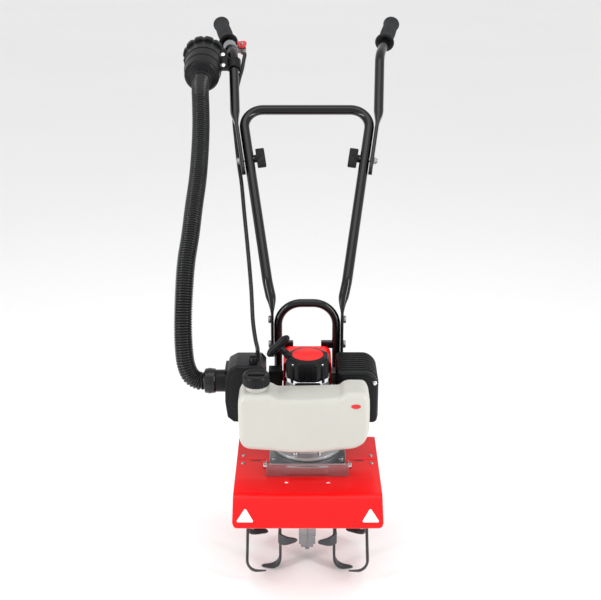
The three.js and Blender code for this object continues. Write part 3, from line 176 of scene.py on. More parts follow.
def rounded_line(points, radii, arc_steps=12):
    """Straights between points, with an arc of each radius touching both straights at a corner."""
    points = [np.asarray(p, float) for p in points]
    out = [points[0]]
    for before, at, after, radius in zip(points, points[1:], points[2:], radii):
        back, on = unit(before - at), unit(after - at)
        half = math.acos(np.clip(back.dot(on), -1, 1)) / 2
        reach = radius / math.tan(half)
        centre = at + unit(back + on) * radius / math.sin(half)
        start, end = at + back * reach - centre, at + on * reach - centre
        sweep = math.acos(np.clip(unit(start).dot(unit(end)), -1, 1))
        t = np.linspace(0, 1, arc_steps)[:, None]
        arc = (np.sin((1 - t) * sweep) * start + np.sin(t * sweep) * end) / math.sin(sweep)
        out.extend(arc + centre)
    out.append(points[-1])
    return np.array(out)


def along(path):
    """The distance along a path at each of its points."""
    return np.concatenate([[0], np.cumsum(np.linalg.norm(np.diff(path, axis=0), axis=1))])


def resampled(path, distances):
    """The points of a path at the given distances along it."""
    s = along(path)
    return np.stack([np.interp(distances, s, path[:, i]) for i in range(3)], axis=1)


def even(path, step):
    """A path as points spaced evenly along it, about a step apart."""
    length = along(path)[-1]
    return resampled(path, np.linspace(0, length, max(2, int(round(length / step)) + 1)))


def smoothstep(x, low, high):
    """0 below low, 1 above high, and t^2 (3 - 2t) between."""
    t = np.clip((np.asarray(x, float) - low) / (high - low), 0, 1)
    return t * t * (3 - 2 * t)


# ---- surfaces ----
def frames(path, first):
    """A pair of directions square to the path at each point, carried along it without twist."""
    tangent = np.gradient(path, axis=0)
    tangent /= np.linalg.norm(tangent, axis=1)[:, None]
    side = np.empty_like(path)
    current = np.asarray(first, float)
    for i, t in enumerate(tangent):
        current = unit(current - t * current.dot(t))
        side[i] = current
    return side, np.cross(tangent, side)


def swept(path, first, half_a, half_b=None, sides=32, power=2.0, shift=0.0):
    """A superellipse section, |a|^p + |b|^p = 1, carried along a path. Its half sizes, its power and its
    sideways shift may each change along the path."""
    n = len(path)
    half_b = half_a if half_b is None else half_b
    sizes = [np.broadcast_to(np.asarray(v, float), n)[:, None] for v in (half_a, half_b, power, shift)]
    half_a, half_b, power, shift = sizes
    angle = np.linspace(0, 2 * np.pi, sides, endpoint=False)[None, :]
    c, s = np.cos(angle), np.sin(angle)
    a = half_a * np.sign(c) * np.abs(c) ** (2 / power)
    b = half_b * np.sign(s) * np.abs(s) ** (2 / power) + shift
    side, other = frames(path, first)
    return path[:, None] + a[..., None] * side[:, None] + b[..., None] * other[:, None]


def basis(way, toward=(1, 0, 0)):
    """Two directions square to way, the first as near to toward as it can be."""
    way = unit(way)
    toward = np.asarray(toward, float)
    if abs(way.dot(unit(toward))) > 0.98:
        toward = np.array([0.0, 1.0, 0.0])
    first = unit(toward - way * way.dot(toward))
    return first, np.cross(way, first)


def turned(profile, origin=(0, 0, 0), way=(0, 0, 1), sides=48, ripple=None):
    """A profile of (radius, height) turned about a line. ripple(angle, height) is added to the radius."""
    profile = np.asarray(profile, float)
    first, second = basis(way)
    angle = np.linspace(0, 2 * np.pi, sides, endpoint=False)[None, :]
    radius = np.repeat(profile[:, :1], sides, axis=1)
    height = np.repeat(profile[:, 1:], sides, axis=1)
    if ripple is not None:
        radius = radius + ripple(angle, height)
    round_it = np.cos(angle)[..., None] * first + np.sin(angle)[..., None] * second
    return np.asarray(origin, float) + radius[..., None] * round_it + height[..., None] * unit(way)


def eased(profile, radius=1.0, steps=4):
    """A profile of (radius, height) whose inner corners are each an arc of a small radius."""
    flat = np.asarray([(r, h, 0) for r, h in profile], float)
    spans = np.linalg.norm(np.diff(flat, axis=0), axis=1)
    radii = []
    for i in range(1, len(flat) - 1):
        back, on = unit(flat[i - 1] - flat[i]), unit(flat[i + 1] - flat[i])
        half = math.acos(np.clip(back.dot(on), -1, 1)) / 2
        room = 0.45 * min(spans[i - 1], spans[i]) * math.tan(half)
        radii.append(min(radius, room))
    return rounded_line(flat, radii, steps)[:, :2]


def dense_profile(profile, count, length=None):
    """A profile of (radius, height) as points spaced evenly along it, over a length if told."""
    flat = np.column_stack([profile, np.zeros(len(profile))])
    length = along(flat)[-1] if length is None else length
    return resampled(flat, np.linspace(0, length, count))[:, :2]


def rounded_block(low, high, radius, steps=4):
    """A box with round edges: a small ball's surface, pushed out to the corners of an inner box."""
    low, high = np.minimum(low, high).astype(float), np.maximum(low, high).astype(float)
    middle, half = (low + high) / 2, (high - low) / 2
    radius = min(radius, half.min() * 0.98)
    quarter = np.linspace(1e-3, np.pi / 2 - 1e-3, steps + 1)
    angle = np.concatenate([quarter + k * np.pi / 2 for k in range(4)])[None, :]
    height = np.concatenate([-quarter[::-1], quarter])[:, None]
    ball = np.stack(
        [np.cos(height) * np.cos(angle), np.cos(height) * np.sin(angle), np.sin(height) + 0 * angle],
        axis=-1,
    )
    return middle + np.sign(ball) * (half - radius) + radius * ball


def outward_normals(outline):
    """The outward direction at each point of a closed outline that runs anticlockwise."""
    tangent = np.roll(outline, -1, axis=0) - np.roll(outline, 1, axis=0)
    normal = np.stack([tangent[:, 1], -tangent[:, 0]], axis=1)
    return normal / np.linalg.norm(normal, axis=1)[:, None]


def plane(u_way, v_way, w_way, origin=(0, 0, 0)):
    """A function that lays (u, v, w) arrays out along three directions."""
    axes = [np.asarray(way, float) for way in (u_way, v_way, w_way)]
    origin = np.asarray(origin, float)
    return lambda u, v, w: origin + sum(np.asarray(a)[..., None] * way for a, way in zip((u, v, w), axes))


FRONT_VIEW = plane((1, 0, 0), (0, 0, 1), (0, 1, 0))
TOP_VIEW = plane((1, 0, 0), (0, 1, 0), (0, 0, 1))


def pillow(outline, w0, w1, roll, lay, steps=5, fill=None):
    """An outline made a slab from w0 to w1 with quarter-round edges: each ring is the outline moved
    inwards by roll (1 - cos a) while it goes roll (1 - sin a) into the depth. With fill, each face is
    closed by rings that shrink to its middle, so that it can be shaped."""
    normal = outward_normals(outline)
    quarter = np.linspace(0, np.pi / 2, steps + 1)
    inset = roll * (1 - np.sin(quarter))
    depth = roll * (1 - np.cos(quarter))
    insets = np.concatenate([inset, inset[::-1]])
    depths = np.concatenate([w0 + depth, w1 - depth[::-1]])
    rings = outline[None] - insets[:, None, None] * normal[None]
    w = np.repeat(depths[:, None], len(outline), axis=1)
    if fill:
        middle = outline.mean(axis=0)
        share = np.linspace(0.02, 1, fill, endpoint=False)[:, None, None]
        front = middle + (rings[:1] - middle) * share
        back = middle + (rings[-1:] - middle) * share[::-1]
        rings = np.concatenate([front, rings, back])
        w = np.concatenate([np.full(front.shape[:2], w0), w, np.full(back.shape[:2], w1)])
    return lay(rings[..., 0], rings[..., 1], w)


def loop_2d(points, radii, step=1.5, arc_steps=8):
    """A closed outline of straights with a round corner at each point, evenly spaced."""
    points = [np.array([u, v, 0.0]) for u, v in points]
    first = (points[0] + points[-1]) / 2
    path = rounded_line([first, *points, first], radii, arc_steps)
    length = along(path)[-1]
    spaced = resampled(path, np.linspace(0, length, int(length / step), endpoint=False))[:, :2]
    area = np.sum(spaced[:, 0] * np.roll(spaced[:, 1], -1) - np.roll(spaced[:, 0], -1) * spaced[:, 1])
    return spaced if area > 0 else spaced[::-1]


def resample_loop(outline, count):
    """A closed outline as a given number of evenly spaced points, from the one furthest along +u."""
    start = int(np.argmax(outline[:, 0] + 1e-3 * outline[:, 1]))
    turned_round = np.roll(outline, -start, axis=0)
    closed = np.column_stack([np.vstack([turned_round, turned_round[:1]]), np.zeros(len(outline) + 1)])
    return resampled(closed, np.linspace(0, along(closed)[-1], count, endpoint=False))[:, :2]


def ellipse(half_u, half_v, middle=(0, 0), count=64):
    """An outline of (half_u cos a, half_v sin a) about a middle."""
    angle = np.linspace(0, 2 * np.pi, count, endpoint=False)
    return np.stack([middle[0] + half_u * np.cos(angle), middle[1] + half_v * np.sin(angle)], axis=1)


# ---- pieces ----
class Piece:
    """One finished object, gathered from closed shells that may have different materials."""

    def __init__(self, name):
        self.name = name
        self.points, self.faces, self.slots, self.materials = [], [], [], []
        self.count = 0

    def _slot(self, material):
        if material not in self.materials:
            self.materials.append(material)
        return self.materials.index(material)

    def add(self, rows, material, capped=True, closed_rows=False):
        """A grid of rings as a surface: each ring is closed, and neighbouring rings are joined by quads.
        The first and last ring are capped, or joined to each other."""
        rows = np.asarray(rows, float)
        n, m = rows.shape[:2]
        index = np.arange(n * m).reshape(n, m) + self.count
        around = np.roll(index, -1, axis=1)
        quads = np.stack([index[:-1], around[:-1], around[1:], index[1:]], axis=-1).reshape(-1, 4)
        faces = quads.tolist()
        if closed_rows:
            faces += np.stack([index[-1], around[-1], around[0], index[0]], axis=-1).tolist()
        elif capped:
            faces += [index[0][::-1].tolist(), index[-1].tolist()]
        self.points.append(rows.reshape(-1, 3))
        self.faces += faces
        self.slots += [self._slot(material)] * len(faces)
        self.count += n * m
        return self

    def finish(self, body, *nodes, slot=None, angle=32):
        """The mesh, with its faces pointing out, riding on a body and standing for CAD nodes."""
        mesh = bpy.data.meshes.new(self.name)
        mesh.from_pydata(place(np.vstack(self.points)), [], self.faces)
        for material in self.materials:
            mesh.materials.append(material)
        mesh.polygons.foreach_set("material_index", self.slots)
        tidy_mesh(mesh)
        return settle(mesh, self.name, body, nodes, angle)


def tidy_mesh(mesh, dissolve=False):
    """Merges doubled points and turns every closed shell's faces outwards."""
    shape = bmesh.new()
    shape.from_mesh(mesh)
    bmesh.ops.remove_doubles(shape, verts=shape.verts, dist=1e-6)
    bmesh.ops.dissolve_degenerate(shape, edges=shape.edges, dist=1e-6)
    if dissolve:
        edges, points = list(shape.edges), list(shape.verts)
        bmesh.ops.dissolve_limit(shape, angle_limit=math.radians(0.5), edges=edges, verts=points)
    bmesh.ops.recalc_face_normals(shape, faces=shape.faces)
    shape.to_mesh(mesh)
    shape.free()


def settle(mesh, name, body, nodes, angle):
    """An object for a mesh, riding on its body and standing for its CAD nodes."""
    mesh.shade_smooth()
    mesh.set_sharp_from_angle(angle=math.radians(angle))
    piece = bpy.data.objects.new(name, mesh)
    bpy.context.scene.collection.objects.link(piece)
    if body:
        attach(piece, body)
    if nodes:
        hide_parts(*nodes)
    return piece


BODY_OF = {n: b for b, ns in frame["record"]["behaviour"]["bodies"].items() for n in ns}
SLOT_OF = {row["node"]: row["material_slot"] for row in frame["record"]["subparts"]}


def eased_copy(node, width, material, segments=3):
    """A CAD node's own shape with its edges rounded, standing for that node."""
    mesh = frame["nodes"][node].data.copy()
    mesh.materials.clear()
    mesh.materials.append(material)
    tidy_mesh(mesh, dissolve=True)
    piece = settle(mesh, node + "_finished", BODY_OF[node], (node,), 40)
    bevel = piece.modifiers.new("edges", "BEVEL")
    bevel.width = width * MM
    bevel.segments = segments
    bevel.limit_method = "ANGLE"
    bevel.angle_limit = math.radians(32)
    bevel.harden_normals = True
    return piece


# ---- materials ----
class Value:
    """A socket on which arithmetic adds Math nodes."""

    def __init__(self, finish, socket):
        self.finish, self.socket = finish, socket

    def _math(self, operation, a, b):
        return self.finish.node("ShaderNodeMath", {"operation": operation}, {0: a, 1: b})

    def __add__(self, other):
        return self._math("ADD", self, other)

    def __sub__(self, other):
        return self._math("SUBTRACT", self, other)

    def __rsub__(self, other):
        return self._math("SUBTRACT", other, self)

    def __mul__(self, other):
        return self._math("MULTIPLY", self, other)

    __radd__, __rmul__ = __add__, __mul__


class Finish:
    """A material on a Principled shader, with its patterns on Object coordinates."""

    def __init__(self, name, **constants):
        self.material = bpy.data.materials.new(name)
        self.material.use_nodes = True
        self.tree = self.material.node_tree
        self.shader = self.tree.nodes["Principled BSDF"]
        for socket, value in constants.items():
            self.shader.inputs[socket.replace("_", " ")].default_value = value
        self.place = self.node("ShaderNodeTexCoord", output="Object")

    def node(self, kind, settings=None, inputs=None, output=0):
        """A node of a type, with its settings made first and then its sockets' values or links."""
        made = self.tree.nodes.new(kind)
        for name, value in (settings or {}).items():
            setattr(made, name, value)
        for name, value in (inputs or {}).items():
            self.put(made.inputs[name], value)
        return Value(self, made.outputs[output])

    def put(self, socket, value):
        if isinstance(value, Value):
            self.tree.links.new(value.socket, socket)
        else:
            socket.default_value = value

    def noise(self, scale, detail=3.0, rough=0.55, stretch=None):
        """Noise from 0 to 1, at a scale in cycles a metre, stretched along an axis if told."""
        where = self.place
        if stretch:
            where = self.node("ShaderNodeMapping", inputs={"Vector": where, "Scale": stretch})
        inputs = {"Vector": where, "Scale": scale, "Detail": detail, "Roughness": rough}
        return self.node("ShaderNodeTexNoise", inputs=inputs, output="Fac")

    def between(self, value, low, high):
        """0 below low, 1 above high, and a straight line between."""
        inputs = {"Value": value, "From Min": low, "From Max": high}
        return self.node("ShaderNodeMapRange", {"clamp": True}, inputs)

    def mix(self, share, first, second):
        inputs = {0: share, 6: first, 7: second}
        return self.node("ShaderNodeMix", {"data_type": "RGBA"}, inputs, output=2)

    def drive(self, socket, value):
        self.put(self.shader.inputs[socket], value)
        return self

    def bump(self, height, strength, distance):
        inputs = {"Height": height, "Strength": strength, "Distance": distance}
        return self.drive("Normal", self.node("ShaderNodeBump", inputs=inputs, output="Normal"))


def rgb(colour):
    return (*tuple(colour)[:3], 1.0)


def toned(colour, factor):
    """A colour with each channel multiplied, and held at 1."""
    return (*(min(1.0, channel * factor) for channel in tuple(colour)[:3]), 1.0)


def enamel(name, colour, roughness, coat, ripple):
    """Sprayed paint: soft drifts of tone, a fine orange-peel ripple and a clear gloss."""
    f = Finish(name, Coat_Roughness=0.05, Specular_IOR_Level=0.16)
    drift = f.noise(9.0, 2.0)
    f.drive("Base Color", f.mix(drift, toned(colour, 0.9), toned(colour, 1.08)))
    f.drive("Roughness", f.between(f.noise(60.0), 0.2, 0.8) * 0.08 + roughness)
    f.drive("Coat Weight", f.noise(14.0) * 0.06 + coat)
    return f.bump(f.noise(420.0, 2.0), ripple, 0.0004).material


def moulded(name, colour, roughness=0.3, grain=0.1):
    """Moulded plastic: a fine leathery grain, and patches polished a little by handling."""
    f = Finish(name, Specular_IOR_Level=0.14)
    handled = f.between(f.noise(16.0, 4.0), 0.42, 0.66)
    f.drive("Base Color", f.mix(handled, rgb(colour), toned(colour, 1.35)))
    f.drive("Roughness", roughness + handled * -0.08 + f.noise(300.0) * 0.08)
    return f.bump(f.noise(1300.0, 4.0), grain, 0.0003).material


def cast_metal(name, colour, roughness=0.42):
    """Sand-cast aluminium: a pitted skin, duller and darker in its hollows."""
    f = Finish(name, Metallic=0.92)
    skin, blotch = f.noise(900.0, 5.0, 0.7), f.noise(40.0, 4.0)
    f.drive("Base Color", f.mix(blotch, toned(colour, 0.72), toned(colour, 1.12)))
    f.drive("Roughness", skin * 0.22 + roughness)
    return f.bump(skin, 0.35, 0.0005).material


def plated(name, colour, roughness=0.24, stretch=(1.0, 1.0, 12.0)):
    """Plated or ground steel: fine lines one way and a faint bloom."""
    f = Finish(name, Metallic=1.0)
    lines = f.noise(500.0, 2.0, 0.5, stretch)
    f.drive("Base Color", f.mix(f.noise(30.0, 3.0), toned(colour, 0.85), toned(colour, 1.1)))
    f.drive("Roughness", lines * 0.16 + roughness)
    return f.bump(lines, 0.08, 0.0002).material


def scuffed(name, colour, bare):
    """Thin satin paint on forged steel, rubbed through in small patches."""
    f = Finish(name)
    worn = f.between(f.noise(110.0, 6.0, 0.7), 0.64, 0.7)
    f.drive("Base Color", f.mix(worn, rgb(colour), rgb(bare)))
    f.drive("Metallic", worn * 0.7 + 0.25)
    f.drive("Roughness", 0.46 - worn * 0.12 + f.noise(80.0) * 0.1)
    return f.bump(f.noise(700.0, 4.0), 0.2, 0.0004).material


def tank_plastic(name, colour):
    """Natural blow-moulded plastic: light soaks in, the skin is waxy, and the tone clouds a little."""
    f = Finish(name, Subsurface_Weight=0.25, Subsurface_Scale=0.012, Specular_IOR_Level=0.45)
    f.shader.inputs["Subsurface Radius"].default_value = (1.0, 0.9, 0.75)
    cloud = f.noise(11.0, 3.0)
    f.drive("Base Color", f.mix(cloud, toned(colour, 0.93), rgb(colour)))
    f.drive("Roughness", f.noise(45.0) * 0.1 + 0.3)
    return f.bump(f.noise(160.0, 3.0), 0.1, 0.0006).material


def rubber(name, colour, roughness=0.7, gloss=0.1):
    """Dull rubber with a fine grain and a little dust."""
    f = Finish(name, Specular_IOR_Level=gloss)
    dust = f.between(f.noise(28.0, 4.0), 0.45, 0.75)
    f.drive("Base Color", f.mix(dust, rgb(colour), toned(colour, 1.5)))
    f.drive("Roughness", dust * 0.12 + roughness)
    return f.bump(f.noise(1600.0, 3.0), 0.15, 0.0003).material


def paper(name, colour):
    """Pleated filter paper: matt, fibrous and uneven in tone."""
    f = Finish(name, Roughness=0.9)
    f.drive("Base Color", f.mix(f.noise(300.0, 4.0), toned(colour, 0.8), rgb(colour)))
    return f.bump(f.noise(900.0, 4.0), 0.3, 0.0003).material


def floor_finish(name):
    f = Finish(name, Specular_IOR_Level=0.2)
    f.drive("Base Color", f.mix(f.noise(0.7, 2.0), (0.86, 0.86, 0.86, 1), (0.9, 0.9, 0.9, 1)))
    return f.drive("Roughness", f.noise(3.0) * 0.05 + 0.6).material


MADE = {}


def finishes():
    """Every material, made once from the colours in the panel."""
    if not MADE:
        c = bpy.context.scene.tiller_colours
        MADE.update(
            red_paint=enamel("red_paint", c.red, 0.3, 0.1, 0.04),
            black_paint=enamel("black_paint", c.tube_black, 0.16, 0.34, 0.02),
            black_plastic=moulded("black_plastic", c.plastic_black),
            grey_plastic=moulded("grey_plastic", toned(c.plastic_black, 3.2), 0.36),
            red_plastic=moulded("red_plastic", c.lever_red, 0.3, 0.06),
            grey_paint=scuffed("grey_paint", c.grey, (0.42, 0.42, 0.43)),
            cast_aluminium=cast_metal("cast_aluminium", (0.36, 0.365, 0.375)),
            steel=plated("steel", (0.36, 0.365, 0.375), 0.3),
            chrome=plated("chrome", (0.62, 0.63, 0.65), 0.08),
            bronze=plated("bronze", (0.62, 0.43, 0.2), 0.3),
            tank_plastic=tank_plastic("tank_plastic", c.tank),
            grip_rubber=rubber("grip_rubber", (0.022, 0.023, 0.025), 0.55),
            hose_rubber=rubber("hose_rubber", (0.006, 0.0063, 0.007), 0.24, 0.34),
            paper=paper("paper", (0.72, 0.6, 0.34)),
            label=moulded("label", (0.66, 0.66, 0.65), 0.35, 0.02),
            # Black for the thin strips beside the fender's split line: painted shadow.
            label_edge=moulded("label_edge", (0.03, 0.03, 0.03), 0.4, 0.02),
        )
    return MADE


# ---- cords: their routes are the model's own ----
HOSE_POINTS = [
    (-193.4, 24, 368), (-204, 24, 368), (-218, 24, 377), (-227, 25, 398), (-231, 30, 432),
    (-232, 41, 475), (-231, 60, 519), (-228, 98, 577), (-222, 136, 620), (-218, 178, 662),
    (-213, 224, 706), (-211, 268, 750), (-211, 308, 794), (-213, 338, 830), (-215, 360, 854),
    (-216, 379, 863), (-216, 394.4, 867.6),
]
CONDUIT_POINTS = [
    (-132.2, 511.2, 906.4), (-131.2, 506.7, 905.1), (-133, 497, 896), (-136.5, 485, 878),
    (-142, 470, 860), (-149, 443, 828), (-151, 410, 788), (-146, 377, 749), (-139, 340, 706),
    (-133, 312, 678), (-126, 262, 632), (-117, 205, 570), (-109, 150, 506), (-104, 98, 456),
    (-98, 62, 434), (-94, 48, 422), (-94, 47, 409.6),
]
HOSE_DIAMETER = 35.0
CONDUIT_DIAMETER = 8.4


def make_hose(sizes, m):
    """The corrugated hose: rings of its outer radius, pulled in between by a raised cosine of the
    distance along it."""
    path = even(catmull(HOSE_POINTS), sizes.hose_pitch / 8)
    s = along(path)
    wave = 0.5 - 0.5 * np.cos(2 * np.pi * s / sizes.hose_pitch)
    radius = HOSE_DIAMETER / 2 - sizes.hose_depth * wave**1.6
    piece = Piece("intake_hose_corrugated")
    piece.add(swept(path, (0, 1, 0), radius, sides=44), m["hose_rubber"])
    hose = piece.finish(None, "intake_hose", slot="hose_rubber", angle=70)
    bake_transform(hose)


def make_conduit(m):
    """The throttle conduit: a ribbed sleeve whose ribs are a fine cosine of the distance along it."""
    path = even(catmull(CONDUIT_POINTS), 0.8)
    s = along(path)
    radius = CONDUIT_DIAMETER / 2 - 0.35 * (0.5 - 0.5 * np.cos(2 * np.pi * s / 3.2))
    piece = Piece("throttle_conduit_sleeve")
    piece.add(swept(path, (1, 0, 0), radius, sides=16), m["hose_rubber"])
    sleeve = piece.finish(None, "throttle_conduit", slot="hose_rubber", angle=70)
    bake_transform(sleeve)


# ---- tubes ----
CLAMP_Y = 472.7


def bar_path(side, short=0.0):
    """The upper bar's middle line, from its flat start to its grip, ending a little short if told."""
    way, out = leg_way(side), outwards(side)
    root = bolt_point(side) + BAR_OFFSET * out
    end = mirrored(GRIP_END, side) - short * grip_way(side)
    return rounded_line([root - 32 * way, root + 108 * way, mirrored(BAR_BEND, side), end], [90, 60], 16)


def clamp_place():
    """Where the canister's clamp holds the right bar: the middle of its CAD ring, and the bar's way."""
    path = even(bar_path(RIGHT), 1.0)
    i = int(np.argmin(np.abs(path[:, 1] - CLAMP_Y)))
    return path[i], unit(path[i + 4] - path[i - 4])


CLAMP = clamp_place()


def rounded_end(distance, reach, least):
    """The share of full width near an end: the root of 1 - (1 - distance / reach)^2, which is a quarter
    of an ellipse. What stands under the root is never less than least."""
    return np.sqrt(np.clip(1 - (1 - np.clip(distance / reach, 0, 1)) ** 2, least, 1))


def make_handle_frame(m):
    """One bent tube whose two ends are pressed flat against the hoop, with a bolt through each."""
    def leg(side):
        return [mirrored(p, side) for p in ((67.8, 125, 373), (67.8, 125, 486), LEG_LOW, CROSS_END)]

    path = even(rounded_line(leg(LEFT) + leg(RIGHT)[::-1], [30, 60, 38, 38, 60, 30], 14), 3.0)
    s = along(path)
    from_end = np.minimum(s, s[-1] - s)
    flat = 1 - smoothstep(from_end, 92, 128)
    thin = TUBE + (3.0 - TUBE) * flat
    wide = TUBE + (13.0 - TUBE) * flat
    nose = rounded_end(from_end, 13, 0.02)
    piece = Piece("handle_frame_tube")
    piece.add(swept(path, (1, 0, 0), thin, wide * nose, 40, 2 + 2.5 * flat), m["black_paint"])
    head = eased([(0, 0), (7.5, 0), (7.5, 4.2), (6, 5), (0, 5.2)], 0.8)
    for side in (LEFT, RIGHT):
        for z in (400, 452):
            piece.add(turned(head, (side * 70.8, 125, z), (side, 0, 0)), m["steel"])
    piece.finish("root", "handle_frame", slot="black_paint")


def make_upper_bars(m):
    """Each bar is pressed flat beside the leg, turns round above it and bends back to its grip."""
    for side, name in ((LEFT, "left"), (RIGHT, "right")):
        path = even(bar_path(side, 4), 3.0)
        s = along(path)
        flat = 1 - smoothstep(s, 112, 150)
        thin, wide = TUBE + (4.0 - TUBE) * flat, TUBE + (12.0 - TUBE) * flat
        nose = rounded_end(s, 12, 0.02)
        piece = Piece(f"upper_bar_{name}_tube")
        rows = swept(path, outwards(side), thin, wide * nose, 36, 2 + 2 * flat)
        piece.add(rows, m["black_paint"])
        piece.finish(f"bar_{name}", f"upper_bar_{name}", slot="black_paint")


def make_hoop(m):
    """A round tube bent to a hoop, with a foot, a stay and two bolts on each side."""
    half = [np.array([side * HOOP_HALF, 125, z]) for side, z in ((-1, 244), (-1, HOOP_CROWN))]
    path = even(rounded_line([*half, *(p * (-1, 1, 1) for p in half[::-1])], [45, 45], 20), 3.0)
    piece = Piece("engine_hoop_tube").add(swept(path, (0, 1, 0), 8.0, sides=36), m["black_paint"])
    bolt = eased([(0, 0), (5.5, 0), (5.5, 3), (0, 3.4)], 0.6)
    for side in (LEFT, RIGHT):
        x = side * HOOP_HALF
        piece.add(rounded_block((x - 13, 110, 243.4), (x + 13, 140, 247.3), 1.2), m["black_paint"])
        piece.add(rounded_block((side * 52.5, 119, 393), (side * 27, 131, 407), 2), m["black_paint"])
        for y in (114.5, 135.5):
            piece.add(turned(bolt, (x, y, 247.3), sides=24), m["steel"])
    piece.finish("root", "engine_hoop", slot="black_paint")


def make_grips(sizes, m):
    """Each grip is a ribbed sleeve with a flared skirt at its start and a rolled end. The ribs are a
    cosine of the angle that fades out at both ends."""
    def ribs(angle, height):
        fade = smoothstep(height, 14, 20) * (1 - smoothstep(height, 90, 97))
        return 0.55 * fade * np.cos(sizes.grip_ribs * angle)

    profile = [(10.3, 8), (18.6, 0.6), (20.8, 0), (20.6, 2.4), (16.2, 9), (15.2, 13), (15, 20), (15.9, 50)]
    profile += [(15.2, 88), (15.6, 98), (17.8, 100.5), (17.8, 103.5), (14, 106), (0.05, 106)]
    dense = dense_profile(eased(profile, 1.2), 150, length=150)
    for side, name in ((LEFT, "left"), (RIGHT, "right")):
        start = mirrored(GRIP_END, side) - GRIP_LENGTH * grip_way(side)
        piece = Piece(f"grip_{name}_sleeve")
        piece.add(turned(dense, start, grip_way(side), 144, ribs), m["grip_rubber"])
        piece.finish(f"bar_{name}", f"grip_{name}", slot="grip_rubber", angle=50)


def make_fold_knobs(m):
    """A wing nut with a collar inside each leg, and its bolt's washer and nut outside the bar."""
    for side, name in ((LEFT, "left"), (RIGHT, "right")):
        at, out, way = bolt_point(side), outwards(side), leg_way(side)
        across = np.cross(out, way)
        lay = plane(way, across, -out, at)
        lower = [(-21, -4.5), (-8, -6), (8, -6), (21, -4.5)]
        upper = [(u, -v) for u, v in lower[::-1]]
        wing = loop_2d(lower + upper, [3, 4, 4, 3] * 2, 0.8)
        piece = Piece(f"fold_knob_{name}_wing")
        collar = eased([(0, 0), (8, 0), (8, 12), (6.5, 16), (0, 16)], 1.2)
        piece.add(turned(collar, at - 10.4 * out, -out, 40), m["black_plastic"])
        piece.add(pillow(wing, 15.2, 33.0, 2.2, lay), m["black_plastic"])
        piece.add(turned([(0, -14), (4, -14), (4, 26), (0, 26)], at, out, 28), m["steel"])
        seat = at + 18.9 * out
        washer = eased([(0, 0), (7.6, 0), (7.6, 1.4), (0, 1.4)], 0.4)
        nut = [(0, 1.4), (6.4, 1.4), (6.4, 5), (5.6, 5.6), (0, 5.6)]
        piece.add(turned(washer, seat, out, 36), m["steel"])
        piece.add(turned(nut, seat, out, 6), m["steel"])
        piece.finish(f"knob_{name}", f"fold_knob_{name}", slot="black_plastic")


# ---- sheet metal, engine covers and tank ----
def sheet_shell(rows, keep, half):
    """A thin closed shell about a grid of points: the grid is moved half a thickness along its normals
    each way, cells that aren't kept are left out, and walls close every open edge."""
    across, down = np.gradient(rows, axis=1), np.gradient(rows, axis=0)
    normal = np.cross(across, down)
    normal /= np.maximum(np.linalg.norm(normal, axis=2), 1e-9)[..., None]
    n, m = rows.shape[:2]
    points = np.concatenate([(rows + half * normal).reshape(-1, 3), (rows - half * normal).reshape(-1, 3)])
    index = np.arange(n * m).reshape(n, m)
    a, b, c, d = index[:-1, :-1], index[:-1, 1:], index[1:, 1:], index[1:, :-1]
    faces = [np.stack([a, b, c, d], -1)[keep], n * m + np.stack([a, d, c, b], -1)[keep]]
    padded = np.pad(keep, 1)
    gaps = (
        (padded[:-2, 1:-1], a, b), (padded[2:, 1:-1], c, d),
        (padded[1:-1, :-2], d, a), (padded[1:-1, 2:], b, c),
    )
    for neighbour, start, end in gaps:
        wall = keep & ~neighbour
        faces.append(np.stack([start, start + n * m, end + n * m, end], -1)[wall])
    return points, np.concatenate(faces)


def add_shell(piece, shell, material):
    """A shell's used points and faces, added to a piece."""
    points, faces = shell
    used, remapped = np.unique(faces, return_inverse=True)
    piece.points.append(points[used])
    faces = remapped.reshape(faces.shape) + piece.count
    piece.faces += faces.tolist()
    piece.slots += [piece._slot(material)] * len(faces)
    piece.count += len(used)


def spaced(limits, step, *extra):
    """Evenly spaced numbers between limits, with some extra ones let in."""
    base = np.arange(limits[0], limits[1] + step / 2, step)
    base = base[np.min(np.abs(base[:, None] - np.array(extra)[None, :]), axis=1) > step * 0.35]
    return np.sort(np.concatenate([base, np.array(extra, float)]))


